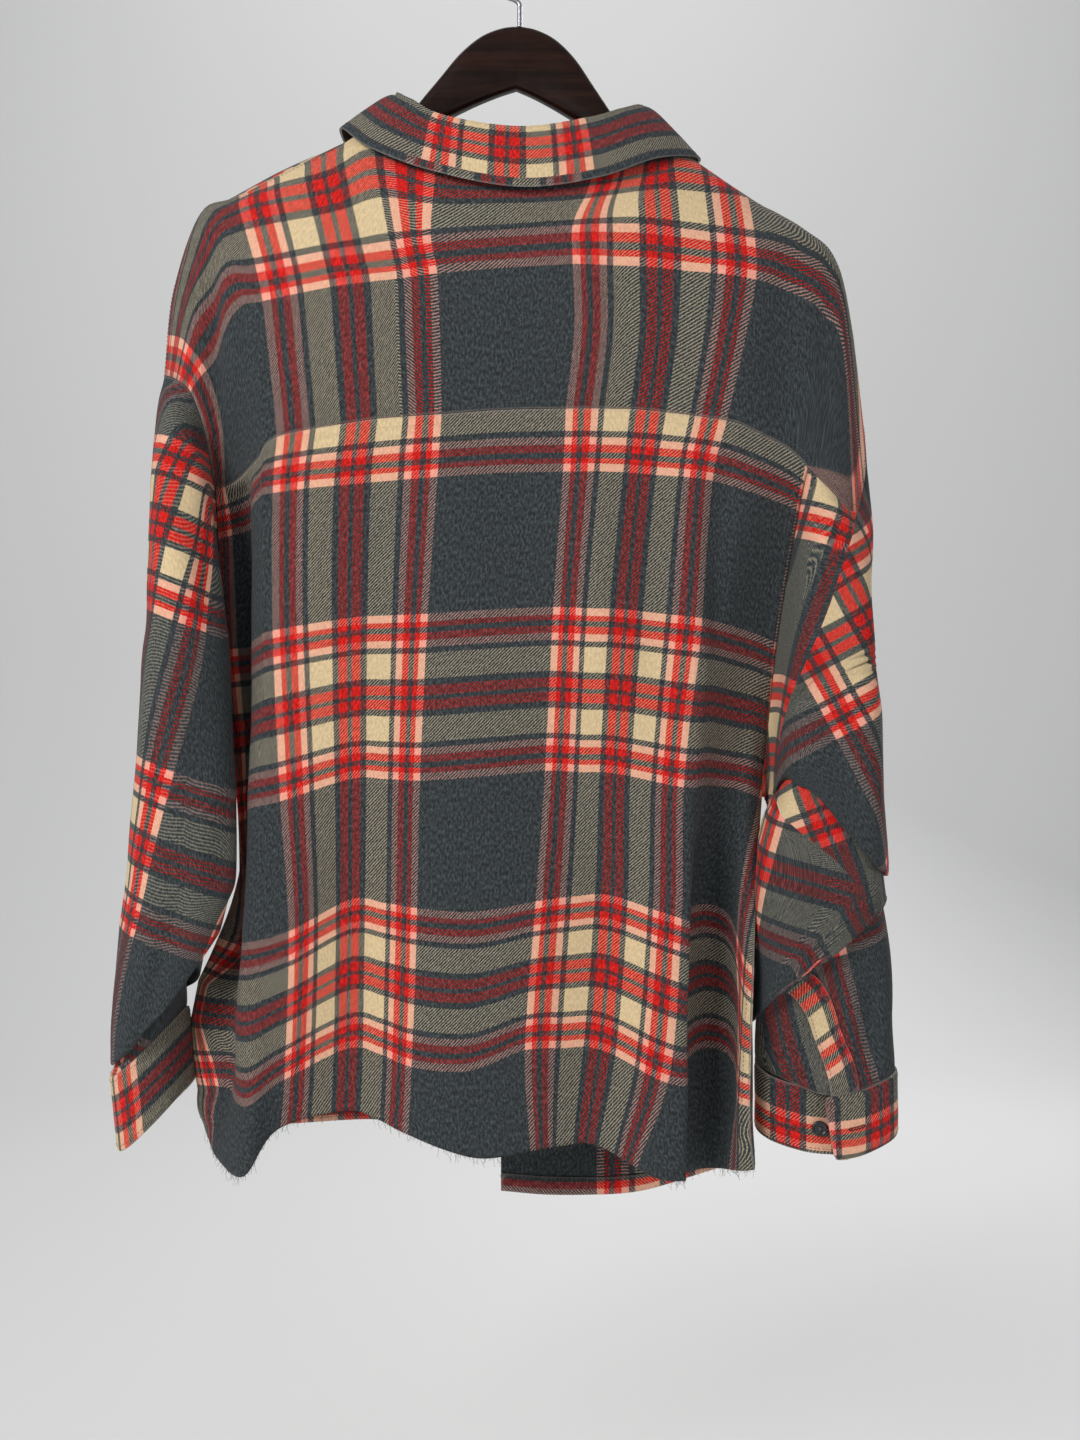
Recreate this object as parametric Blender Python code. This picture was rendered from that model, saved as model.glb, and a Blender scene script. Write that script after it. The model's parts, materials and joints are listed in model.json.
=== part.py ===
"""A flannel shirt hanging on a contoured wooden hanger.

Metres, +Z up. The origin is the inner top of the hanger's hook. The shirt's front faces -Y and
its back +Y, so the wearer's left is +X. Every cut piece of cloth is a wall of its own, lofted
through named sections, and stands a seam's gap away from the piece that it is sewn to.
"""
import math

import bpy
import numpy as np

MM = 0.001

# Driving sizes, in millimetres
WALL = 1.6              # flannel with its nap
CUFF_WALL = 2.4         # two layers and the interlining
COLLAR_WALL = 2.0
SEAM_GAP = 0.3
SIDE_GAP = 0.8
LAP_LIFT = 0.4          # what lies on a panel stands this far off it
STRIP = 1.2              # plackets and folded hems
HEM_SHARE = 0.17         # of the last row step
HANGER_TILT = math.radians(3.0)
HOOK_ROD = 3.6
HOOK_RADIUS = 17.0
BUTTON_DIAMETER = 11.5
BUTTON_THICK = 2.6
BUTTON_STAND = 0.8
FRONT_BUTTONS = 7
FIRST_BUTTON = -240.0
BUTTON_PITCH = 100.0
CUFF_BUTTON = (-226, 20, -871)

# The lower back. Each row is a height, each column a line down the cloth: (x, y, z).
BACK_COLUMNS = ("side_l", "valley_l", "fold_l", "out_l", "mid_l", "neck_l", "in_l", "centre",
                "in_r", "neck_r", "mid_r", "out_r", "fold_r", "tuck_r", "recess_r", "strip_r",
                "side_r")
COLUMN_STEPS = (2, 3, 3, 3, 2, 3, 3, 3, 3, 2, 3, 2, 2, 2, 2, 2)
BACK_ROWS = {
    "seam": ((230, -2, -399), (212, 8, -394), (191, 34, -382), (176, 40, -367), (116, 42, -356),
             (86, 43, -353), (56, 43, -351), (12, 43, -348), (-34, 43, -347), (-64, 43, -347),
             (-94, 42, -348), (-151, 40, -355), (-170, 36, -361), (-182, 32, -366),
             (-194, 28, -371), (-204, 26, -378), (-213, 24, -387)),
    "chest": ((229, -8, -436), (208, 0, -429), (190, 34, -412), (179, 40, -408), (121, 43, -402),
              (90, 43, -399), (59, 44, -397), (14, 44, -394), (-32, 44, -393), (-60, 43, -393),
              (-88, 43, -394), (-141, 40, -399), (-165, 34, -405), (-177, 29, -408),
              (-188, 23, -411), (-198, 18, -414), (-208, 14, -418)),
    "blade": ((228, -14, -520), (205, -5, -517), (189, 34, -512), (179, 40, -508), (123, 42, -499),
              (94, 42, -497), (66, 42, -496), (21, 42, -493), (-25, 42, -491), (-51, 42, -492),
              (-78, 42, -493), (-133, 38, -499), (-146, 30, -501), (-160, 18, -504),
              (-172, 9, -507), (-184, 3, -511), (-194, 0, -515)),
    "pit": ((217, -24, -651), (205, -6, -645), (194, 36, -637), (173, 42, -632), (123, 38, -616),
            (97, 39, -616), (72, 40, -617), (27, 42, -614), (-19, 39, -610), (-45, 37, -611),
            (-70, 36, -612), (-120, 40, -622), (-136, 28, -621), (-144, 12, -622),
            (-160, 2, -624), (-173, 1, -628), (-184, -10, -633)),
    "waist": ((220, -22, -740), (214, 4, -737), (198, 38, -735), (169, 40, -727), (124, 32, -705),
              (99, 33, -707), (74, 36, -710), (30, 42, -712), (-12, 38, -705), (-40, 34, -702),
              (-68, 32, -702), (-118, 42, -717), (-127, 36, -720), (-120, 12, -718),
              (-147, 3, -714), (-163, 22, -745), (-172, 30, -755)),
    "hip": ((244, -8, -849), (227, 12, -850), (198, 44, -853), (173, 36, -836), (126, 28, -815),
            (102, 29, -819), (78, 34, -826), (35, 44, -827), (-4, 38, -813), (-32, 32, -813),
            (-59, 30, -815), (-108, 42, -836), (-125, 38, -838), (-118, 13, -834),
            (-144, 4, -822), (-156, 24, -852), (-169, 32, -856)),
    "hem": ((238, -4, -883), (226, 14, -898), (199, 46, -903), (176, 34, -872), (128, 26, -861),
            (104, 28, -867), (81, 34, -876), (32, 46, -890), (-8, 40, -886), (-32, 34, -884),
            (-57, 30, -885), (-99, 42, -905), (-124, 40, -908), (-118, 15, -912),
            (-142, 6, -912), (-158, 22, -907), (-172, 33, -902)),
}

# The yoke, from its front seam over the shoulders to its back seam, on the same columns. Its
# corners are where the front seam meets the neck.
YOKE_CORNERS = (BACK_COLUMNS.index("neck_l"), BACK_COLUMNS.index("neck_r"))
YOKE_ROWS = {
    "front": ((270, -10, -313), (262, -4, -250), (240, 2, -192), (211, 3, -179), (148, 3, -147),
              (104, 2, -126), (62, 31, -157), (2, 36, -171), (-58, 32, -160), (-104, -1, -137),
              (-127, -13, -152), (-176, -21, -191), (-193, -22, -201), (-214, -23, -213),
              (-236, -25, -234), (-250, -27, -272), (-262, -30, -350)),
    "crest": ((268, -3, -313), (259, 4, -252), (238, 9, -196), (209, 10, -184), (146, 11, -154),
              (110, 13, -136), (61, 34, -165), (3, 39, -179), (-58, 35, -167), (-110, 10, -146),
              (-130, 0, -150), (-177, -4, -182), (-194, -5, -191), (-215, -5, -204),
              (-237, -6, -222), (-249, -8, -262), (-263, -16, -354)),
    "ridge": ((262, 6, -316), (250, 14, -256), (231, 20, -208), (206, 22, -198), (143, 25, -174),
              (108, 28, -164), (62, 39, -187), (6, 42, -196), (-50, 40, -188), (-104, 27, -170),
              (-124, 19, -166), (-176, 14, -192), (-195, 13, -200), (-214, 12, -210),
              (-233, 9, -226), (-247, 4, -263), (-262, -6, -374)),
    "stripe": ((255, 13, -320), (238, 24, -267), (216, 30, -242), (193, 36, -240),
               (129, 40, -230), (96, 42, -225), (64, 43, -221), (9, 43, -217), (-39, 43, -214),
               (-70, 43, -213), (-102, 42, -214), (-172, 36, -221), (-195, 31, -224),
               (-211, 26, -230), (-227, 20, -238), (-243, 11, -268), (-258, 4, -398)),
    "shoulder": ((243, 22, -331), (223, 30, -298), (205, 34, -272), (187, 40, -268),
                 (122, 45, -258), (90, 46, -254), (59, 47, -250), (9, 46, -246), (-39, 47, -244),
                 (-70, 47, -245), (-102, 46, -246), (-172, 40, -253), (-194, 35, -258),
                 (-210, 31, -264), (-225, 26, -274), (-240, 20, -300), (-248, 17, -420)),
    "plate": ((234, 16, -358), (213, 26, -341), (196, 37, -318), (182, 42, -308), (119, 47, -299),
              (88, 48, -297), (57, 48, -295), (9, 47, -294), (-40, 48, -293), (-70, 48, -293),
              (-101, 47, -294), (-163, 42, -301), (-184, 37, -305), (-198, 33, -311),
              (-211, 31, -320), (-222, 29, -338), (-231, 26, -405)),
}

# The fronts, from the side seam to the centre edge. The first row is the yoke's front seam,
# and the side column under the armhole is the back's.
FRONT_COLUMNS = ("side", "drop", "tip", "neck", "curve", "throat", "fly", "edge")
FRONT_STEPS_FROM_NECK = (2, 2, 2, 2)
FRONT_LEFT_ROWS = {
    "seam": ((270, -10, -313), (246, -1, -203), (198, 3, -173), (104, 2, -126), (90, -21, -144),
             (64, -35, -168), (20, -42, -197), (-14, -46, -208)),
    "crest": ((271, -18, -316), (250, -13, -206), (200, -9, -169), (112, -9, -131),
              (94, -27, -150), (66, -39, -177), (20, -45, -206), (-14, -49, -216)),
    "slope": ((268, -30, -326), (250, -32, -232), (202, -29, -192), (122, -27, -155),
              (98, -37, -172), (68, -43, -196), (20, -47, -224), (-14, -50, -233)),
    "chest": ((242, -40, -400), (226, -47, -386), (190, -48, -370), (118, -45, -352),
              (90, -47, -345), (60, -48, -342), (20, -48, -340), (-14, -48, -340)),
    "blade": ((230, -34, -520), (210, -44, -514), (170, -37, -504), (112, -47, -495),
              (86, -46, -493), (56, -43, -491), (20, -46, -490), (-14, -47, -490)),
    "pit": ((217, -24, -651), (202, -38, -645), (164, -46, -634), (108, -39, -620),
            (82, -45, -617), (54, -41, -615), (20, -45, -613), (-13, -46, -613)),
    "waist": ((220, -22, -740), (206, -40, -735), (168, -36, -722), (110, -47, -710),
              (84, -44, -709), (54, -40, -708), (20, -44, -707), (-13, -45, -707)),
    "hip": ((244, -8, -849), (226, -30, -845), (178, -46, -832), (114, -36, -815),
            (86, -43, -815), (56, -38, -815), (20, -43, -816), (-12, -44, -817)),
    "hem": ((238, -4, -883), (222, -28, -886), (176, -44, -888), (116, -34, -882),
            (86, -41, -888), (56, -37, -897), (20, -42, -906), (-12, -43, -909)),
}
FRONT_RIGHT_ROWS = {
    "seam": ((-262, -30, -350), (-226, -24, -223), (-176, -21, -191), (-104, -1, -137),
             (-92, -22, -149), (-58, -34, -172), (-20, -39, -200), (14, -41, -211)),
    "slope": ((-259, -37, -366), (-230, -40, -256), (-180, -38, -224), (-116, -31, -172),
              (-94, -37, -182), (-62, -41, -198), (-20, -43, -223), (14, -44, -233)),
    "chest": ((-232, -45, -426), (-206, -49, -398), (-166, -46, -372), (-110, -45, -352),
              (-86, -46, -346), (-60, -44, -343), (-20, -43, -341), (14, -42, -341)),
    "blade": ((-205, -36, -520), (-186, -46, -513), (-152, -38, -503), (-104, -46, -493),
              (-80, -45, -491), (-56, -41, -489), (-20, -40, -488), (14, -40, -488)),
    "pit": ((-184, -10, -633), (-180, -29, -634), (-150, -43, -628), (-102, -36, -620),
            (-78, -42, -617), (-54, -37, -616), (-20, -39, -615), (14, -38, -615)),
    "waist": ((-172, 30, -755), (-174, 2, -750), (-152, -32, -738), (-104, -42, -724),
              (-80, -39, -720), (-56, -35, -716), (-20, -37, -713), (15, -37, -712)),
    "hip": ((-169, 32, -856), (-173, 4, -852), (-152, -28, -846), (-106, -40, -838),
            (-80, -36, -834), (-56, -35, -832), (-20, -36, -829), (15, -36, -828)),
    "hem": ((-172, 33, -902), (-174, 5, -904), (-152, -26, -918), (-106, -38, -936),
            (-80, -36, -940), (-56, -36, -941), (-20, -36, -941), (15, -36, -938)),
}

# The sleeves. Each ring runs round the arm from its outer side by the back.
RING_COLUMNS = ("outer", "back_outer", "back", "back_inner", "inner", "front_inner", "front",
                "front_outer")
SLEEVE_LEFT_RINGS = {
    "cap": ((277, -14, -345), (257, 36, -355), (228, 36, -404), (219, 14, -472),
            (229, -27, -618), (224, -62, -500), (244, -72, -425), (270, -52, -360)),
    "upper": ((282, -12, -440), (264, 46, -446), (234, 48, -458), (214, 22, -516),
              (229, -26, -632), (230, -68, -550), (256, -78, -482), (278, -56, -446)),
    "biceps": ((287, -10, -530), (268, 47, -534), (236, 51, -544), (211, 27, -580),
               (229, -22, -656), (232, -66, -606), (258, -76, -560), (282, -54, -536)),
    "elbow": ((292, -9, -610), (273, 47, -613), (239, 52, -622), (207, 32, -645),
              (231, -16, -690), (236, -60, -660), (260, -72, -632), (285, -52, -614)),
    "forearm": ((297, -8, -690), (278, 46, -690), (243, 52, -690), (206, 36, -686),
                (235, -10, -722), (242, -54, -712), (264, -66, -700), (289, -50, -692)),
    "bulge": ((303, -7, -768), (288, 42, -762), (250, 51, -742), (212, 37, -706),
              (240, -6, -742), (248, -48, -752), (270, -60, -760), (295, -46, -766)),
    "pouch": ((307, -6, -833), (296, 32, -828), (257, 45, -788), (220, 33, -733),
              (243, -5, -756), (252, -42, -778), (274, -54, -796), (299, -42, -824)),
}
SLEEVE_LEFT_WRIST = ((303, -4, -828), (295, 20, -826), (280, 27, -812), (263, 17, -794),
                     (256, -8, -784), (264, -34, -794), (282, -43, -812), (296, -29, -826))
CUFF_LEFT_TOP = ((309, -4, -838), (300, 24, -836), (282, 32, -822), (262, 21, -802),
                 (252, -8, -790), (262, -38, -802), (283, -48, -822), (301, -33, -836))
CUFF_LEFT_DROP = (-6, 0, -55)

SLEEVE_RIGHT_RINGS = {
    "cap": ((-266, -12, -410), (-258, 26, -448), (-228, 40, -436), (-201, 23, -500),
            (-190, -24, -642), (-206, -62, -540), (-232, -72, -452), (-260, -50, -408)),
    "upper": ((-268, -10, -500), (-257, 38, -500), (-228, 48, -506), (-198, 32, -546),
              (-192, -22, -654), (-208, -66, -596), (-234, -74, -522), (-263, -52, -500)),
    "biceps": ((-272, -8, -588), (-260, 42, -586), (-230, 52, -584), (-196, 38, -598),
               (-194, -16, -664), (-210, -62, -640), (-238, -70, -602), (-267, -50, -590)),
    "flap": ((-279, -4, -697), (-263, 38, -686), (-236, 47, -656), (-204, 36, -624),
             (-197, -10, -674), (-212, -56, -684), (-242, -64, -694), (-270, -44, -698)),
}
SLEEVE_RIGHT_FOREARM_RINGS = {
    "drape": ((-274, -4, -692), (-262, 30, -692), (-232, 39, -690), (-202, 30, -690),
              (-197, -4, -708), (-206, -40, -708), (-236, -52, -704), (-264, -38, -697)),
    "pouch": ((-277, -3, -709), (-262, 30, -722), (-233, 42, -745), (-200, 36, -780),
              (-183, 3, -806), (-200, -38, -788), (-234, -50, -752), (-265, -36, -722)),
}
SLEEVE_RIGHT_WRIST_RINGS = {
    "low": ((-280, -2, -752), (-268, 20, -752), (-238, 27, -760), (-208, 20, -786),
            (-188, 0, -810), (-206, -22, -800), (-240, -28, -768), (-270, -20, -754)),
    "wrist": ((-280, 0, -838), (-267, 10, -840), (-232, 13, -848), (-199, 10, -844),
              (-186, -1, -837), (-198, -11, -834), (-232, -15, -834), (-267, -11, -836)),
}
CUFF_RIGHT_PATH = ((-238, 17, -848), (-212, 19, -845), (-190, 13, -838), (-182, -1, -832),
                   (-190, -14, -830), (-232, -19, -830), (-272, -15, -832), (-284, -1, -834),
                   (-277, 15, -838), (-252, 26, -846), (-222, 29, -851))
CUFF_HEIGHT = 48
TUCK_RISE = 16          # a pouch of cloth turns up this far behind its lower edge
TUCK_INSET = 7
ARMHOLE_ANCHORS = {"left": (1, 8, 12, 15, 17, 19, 21, 23),
                   "right": (3, 8, 12, 15, 18, 20, 22, 24)}
SLEEVE_STRIP = {"left": 20, "right": 7}     # the first of the strip's columns
STRIP_COLUMNS = 3
LEFT_BUTTON_COLUMN = 18
LONG_MITRE = 4.0        # no mitre reaches further than this many walls
SHORT_MITRE = 2.0
FOLD_MITRE = 2.0

# The collar's columns run from the left front round the back to the right front: the fold along
# its top, and the lower edge of the fall.
COLLAR_COLUMNS = ("edge_l", "fly_l", "throat_l", "curve_l", "neck_l", "turn_l", "in_l", "centre",
                  "in_r", "turn_r", "neck_r", "curve_r", "throat_r", "fly_r", "edge_r")
COLLAR_FOLD = ((10, -46, -178), (34, -41, -163), (58, -32, -142), (78, -18, -121),
               (91, 2, -107), (80, 17, -115), (56, 28, -131), (0, 35, -142), (-50, 28, -133),
               (-76, 17, -122), (-91, -2, -113), (-79, -20, -126), (-56, -31, -147),
               (-32, -39, -167), (-10, -43, -181))
FALL_EDGE = ((56, -58, -248), (86, -52, -212), (112, -42, -170), (131, -24, -139),
             (134, 1, -129), (108, 30, -155), (62, 42, -176), (0, 47, -189), (-58, 43, -181),
             (-100, 31, -163), (-134, 0, -151), (-130, -24, -155), (-112, -41, -186),
             (-86, -49, -222), (-56, -55, -252))

# The stand's points from one collar column to a next one: how many, over how many columns.
STAND_RUNS = ((2, 1),) * 4 + ((3, 2), (3, 1), (3, 1), (3, 2)) + ((2, 1),) * 4
STAND_SHARE = 0.92      # how far up to the fold the stand reaches
FALL_ROUNDING = ((0.22, 5.0), (0.6, 3.5))   # share of the way down, and the rise above it

# The wooden arm, from the middle out: distance, top, underside, half its thickness.
HANGER_ARM = ((0, -51.6, -99, 8.5), (13, -53.7, -104, 8.5), (28, -60.6, -111, 8.7),
              (43, -74.2, -119, 9), (57, -92.9, -127, 9), (71, -112, -136, 9),
              (84, -131, -149, 9), (98, -145, -161, 9.5), (120, -155, -172, 10),
              (143, -164, -182, 11), (176, -182, -201, 12), (207, -201, -218, 12),
              (226, -214, -229, 10.5), (235, -221, -229, 6))

COLOURS = {
    "flannel": (0.07, 0.08, 0.085, 1.0, 0.9, 0.0),
    "flannel_red": (0.45, 0.03, 0.02, 1.0, 0.9, 0.0),
    "wood": (0.05, 0.018, 0.009, 1.0, 0.25, 0.0),
    "steel": (0.6, 0.6, 0.62, 1.0, 0.3, 1.0),
    "button": (0.03, 0.03, 0.035, 1.0, 0.35, 0.0),
}


def clear_scene():
    for old in list(bpy.data.objects):
        bpy.data.objects.remove(old, do_unlink=True)


def material(name):
    """A plain Principled material in the piece's colour, roughness and metal."""
    found = bpy.data.materials.get(name)
    if found:
        return found
    made = bpy.data.materials.new(name)
    made.use_nodes = True
    red, green, blue, alpha, roughness, metal = COLOURS[name]
    shader = made.node_tree.nodes["Principled BSDF"]
    shader.inputs["Base Color"].default_value = (red, green, blue, alpha)
    shader.inputs["Roughness"].default_value = roughness
    shader.inputs["Metallic"].default_value = metal
    return made


def add_object(name, vertices, faces, look, smooth=True):
    """An object whose vertices are given in millimetres."""
    mesh = bpy.data.meshes.new(name)
    mesh.from_pydata([tuple(float(c) * MM for c in v) for v in vertices], [], faces)
    mesh.materials.append(material(look))
    if smooth:
        mesh.shade_smooth()
        mesh.set_sharp_from_angle(angle=math.radians(50))
    made = bpy.data.objects.new(name, mesh)
    bpy.context.collection.objects.link(made)
    return made


def through(points, places, closed=False, corners=()):
    """Catmull-Rom curve through the points, read at fractional places along them.

    The curve is smooth except at its corners, where each side ends on its own.
    """
    points = np.asarray(points, dtype=float)
    count = len(points)
    breaks = sorted({0, count - 1, *corners})
    read = []
    for place in places:
        whole = int(math.floor(place))
        if not closed:
            whole = min(max(whole, 0), count - 2)
        part = place - whole
        low = max(b for b in breaks if b <= whole) if not closed else 0
        high = min(b for b in breaks if b > whole) if not closed else 0
        picks = []
        for step in (-1, 0, 1, 2):
            index = whole + step
            if closed:
                picks.append(points[index % count])
            elif index < low:
                picks.append(2 * points[low] - points[low + 1])
            elif index > high:
                picks.append(2 * points[high] - points[high - 1])
            else:
                picks.append(points[index])
        before, start, end, after = picks
        read.append(0.5 * (2 * start + (end - before) * part
                           + (2 * before - 5 * start + 4 * end - after) * part ** 2
                           + (3 * start - before - 3 * end + after) * part ** 3))
    return np.array(read)


def places(steps):
    """Places along a curve, with the given number of equal parts in each of its steps."""
    found = [0.0]
    for whole, parts in enumerate(steps):
        found += [whole + (part + 1) / parts for part in range(parts)]
    return found


def stack(lines, down, corners=()):
    """The sheet through lines of points, read at the places down it."""
    lines = np.asarray(lines, dtype=float)
    sheet = [through(lines[:, index], down, corners=corners) for index in range(lines.shape[1])]
    return np.array(sheet).transpose(1, 0, 2)


def loft(rows, down, across, row_corners=None):
    """The sheet through rows of control points, read at the places down and across."""
    row_corners = row_corners or {}
    lines = []
    for index, row in enumerate(rows):
        lines.append(through(row, across, corners=row_corners.get(index, ())))
    return stack(lines, down)


def draw_in(sheet, gap, edges):
    """Moves the named edges of a sheet in along the cloth by gap."""
    sheet = sheet.copy()
    for edge in edges:
        at, beside = {"top": (0, 1), "bottom": (-1, -2), "start": (0, 1), "end": (-1, -2)}[edge]
        if edge in ("top", "bottom"):
            run = sheet[beside] - sheet[at]
            run[0], run[-1] = run[1], run[-2]
            sheet[at] += gap * run / np.linalg.norm(run, axis=1, keepdims=True)
        else:
            run = sheet[:, beside] - sheet[:, at]
            sheet[:, at] += gap * run / np.linalg.norm(run, axis=1, keepdims=True)
    return sheet


def mitre(first, second, longest):
    """The direction that halves two walls' normals, as long as a mitre needs it."""
    share = np.maximum(1 + np.sum(first * second, axis=-1, keepdims=True), 1e-3)
    halved = (first + second) / share
    length = np.linalg.norm(halved, axis=-1, keepdims=True)
    return halved * np.minimum(1, longest / length)


def outward(sheet, side, closed=False):
    """Mitred normals at the points of a sheet, on the side that faces out."""
    ahead = np.roll(sheet, -1, axis=1) - sheet
    behind = sheet - np.roll(sheet, 1, axis=1)
    if not closed:
        ahead[:, -1] = behind[:, -1]
        behind[:, 0] = ahead[:, 0]
    down = np.gradient(sheet, axis=0)
    faces = []
    for along in (ahead, behind):
        cross = np.cross(along, down) * side
        faces.append(cross / np.linalg.norm(cross, axis=2, keepdims=True))
    return mitre(faces[0], faces[1], SHORT_MITRE)


def wall(name, sheet, out, thick, look, side, closed=False, lift=0.0):
    """A closed wall whose outer face is the sheet moved out by lift."""
    rows, columns = sheet.shape[:2]
    outer = sheet + out * lift
    inner = outer - out * thick
    vertices = list(outer.reshape(-1, 3)) + list(inner.reshape(-1, 3))
    offset = rows * columns
    faces = []

    def add(face):
        faces.append(face if side > 0 else face[::-1])

    last = columns if closed else columns - 1
    for row in range(rows - 1):
        for column in range(last):
            beside = (column + 1) % columns
            a, b = row * columns + column, row * columns + beside
            c, d = (row + 1) * columns + beside, (row + 1) * columns + column
            if np.linalg.norm(vertices[a] - vertices[c]) < np.linalg.norm(vertices[b] - vertices[d]):
                halves = ((a, b, c), (a, c, d))
            else:
                halves = ((a, b, d), (b, c, d))
            for half in halves:
                add(half)
                add(tuple(index + offset for index in half)[::-1])
    rims = [[(0, column) for column in range(columns)],
            [(rows - 1, column) for column in range(columns)][::-1]]
    if not closed:
        rims[0] += [(row, columns - 1) for row in range(1, rows)]
        rims[0] += rims[1][1:] + [(row, 0) for row in range(rows - 2, 0, -1)]
        rims = rims[:1]
    for rim in rims:
        for spot, (row, column) in enumerate(rim):
            next_row, next_column = rim[(spot + 1) % len(rim)]
            first = row * columns + column
            second = next_row * columns + next_column
            add((second, first, first + offset, second + offset))
    return add_object(name, vertices, faces, look)


ACROSS = places(COLUMN_STEPS)
ROW_STEPS = 2
ROUND = np.linspace(0, len(RING_COLUMNS), 3 * len(RING_COLUMNS) + 1)[:-1]
PIT_ROW = {"left": 2.5, "right": 3.0}       # the armpit's place down the back


def yoke_sheet():
    rows = list(YOKE_ROWS.values()) + [BACK_ROWS["seam"]]
    down = places([ROW_STEPS] * (len(rows) - 1))
    return loft(rows, down, ACROSS, {0: YOKE_CORNERS})


def back_sheet():
    return loft(BACK_ROWS.values(), places([ROW_STEPS] * (len(BACK_ROWS) - 1)), ACROSS)


def corner_sample(column):
    return sum(COLUMN_STEPS[:column])


def front_sheet(name, yoke, back):
    """A front whose seams take the yoke's and the back's own points."""
    rows = FRONT_LEFT_ROWS if name == "left" else FRONT_RIGHT_ROWS
    if name == "left":
        seam = yoke[0, :corner_sample(YOKE_CORNERS[0]) + 1]
        side_seam = back[:, 0]
    else:
        seam = yoke[0, corner_sample(YOKE_CORNERS[1]):][::-1]
        side_seam = back[:, -1]
    neck = FRONT_COLUMNS.index("neck")
    across = list(np.linspace(0, neck, len(seam)))
    across += [neck + place for place in places(FRONT_STEPS_FROM_NECK)[1:]]
    steps = [ROW_STEPS] * (len(rows) - 1)
    down = places(steps)
    down.insert(-1, down[-1] - HEM_SHARE)
    corners = {row: (neck,) for row in range(2)}
    sheet = loft(rows.values(), down, across, corners)
    sheet[0, :len(seam)] = seam
    pit = int(PIT_ROW[name] * ROW_STEPS)
    shared = len(side_seam) - pit
    under_arm = len(down) - 1 - shared
    sheet[under_arm:-2, 0] = side_seam[pit:-1]
    sheet[-2, 0] = side_seam[-1] + (side_seam[-2] - side_seam[-1]) * HEM_SHARE * ROW_STEPS
    sheet[-1, 0] = side_seam[-1]
    return sheet, under_arm


def armhole(yoke_edge, back_edge, front_edge, anchors):
    """The sleeve's first ring: the edges of the panels it is sewn to, from the first anchor.

    Also returns where the other rings are read, so that their columns meet the anchors.
    """
    route = np.concatenate([yoke_edge, back_edge[1:], front_edge[::-1][1:-1]])
    count = len(route)
    around = []
    for index, anchor in enumerate(anchors):
        following = anchors[(index + 1) % len(anchors)]
        parts = (following - anchor) % count
        around += [index + part / parts for part in range(parts)]
    return np.roll(route, -anchors[0], axis=0), around


def tucked(ring, inset, rise):
    """A ring of points behind a pouch's lower edge: further in, and higher."""
    ring = np.asarray(ring, dtype=float)
    inward = ring.mean(axis=0) - ring
    inward[:, 2] = 0
    length = np.linalg.norm(inward, axis=1, keepdims=True)
    return ring + inward / length * inset + np.array((0, 0, rise))


def ring_points(ring, around=ROUND):
    return through(ring, around, closed=True)


def sleeve_lines(name, top, around):
    """The sleeve's rings from the armhole down, and which of them are folds."""
    lines = [top]
    folds = []
    if name == "left":
        lines += [ring_points(ring, around) for ring in SLEEVE_LEFT_RINGS.values()]
        folds += [len(lines) - 1, len(lines)]
        lines += [tucked(lines[-1], TUCK_INSET, TUCK_RISE), ring_points(SLEEVE_LEFT_WRIST, around)]
        return lines, folds
    lines += [ring_points(ring, around) for ring in SLEEVE_RIGHT_RINGS.values()]
    folds += [len(lines) - 1, len(lines)]
    lines.append(tucked(lines[-1], TUCK_INSET, TUCK_RISE))
    lines += [ring_points(ring, around) for ring in SLEEVE_RIGHT_FOREARM_RINGS.values()]
    folds += [len(lines) - 1, len(lines)]
    lines.append(tucked(lines[-1], TUCK_INSET, TUCK_RISE))
    lines += [ring_points(ring, around) for ring in SLEEVE_RIGHT_WRIST_RINGS.values()]
    return lines, folds


def make_sleeve(name, hole, side):
    top, around = hole
    lines, folds = sleeve_lines(name, top, around)
    steps = [ROW_STEPS] * (len(lines) - 1)
    for fold in folds[::2]:
        steps[fold] = 1
    tube = stack(lines, places(steps), folds)
    tube = draw_in(tube, SEAM_GAP, ("top",))
    out = outward(tube, side, closed=True)
    for index, fold in enumerate(folds):
        row = sum(steps[:fold])
        above = outward(tube[row - 1:row + 1], side, closed=True)[1]
        below = outward(tube[row:row + 2], side, closed=True)[0]
        out[row] = mitre(above, below, FOLD_MITRE if index % 2 == 0 else 1.0)
    wall("sleeve_" + name, tube, out, WALL, "flannel", side, closed=True)
    first = sum(steps[:folds[-1]]) + 1
    columns = slice(SLEEVE_STRIP[name], SLEEVE_STRIP[name] + STRIP_COLUMNS)
    wall("sleeve_placket_" + name, tube[first:, columns], out[first:, columns], STRIP, "flannel",
         side, lift=LAP_LIFT + STRIP)


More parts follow.
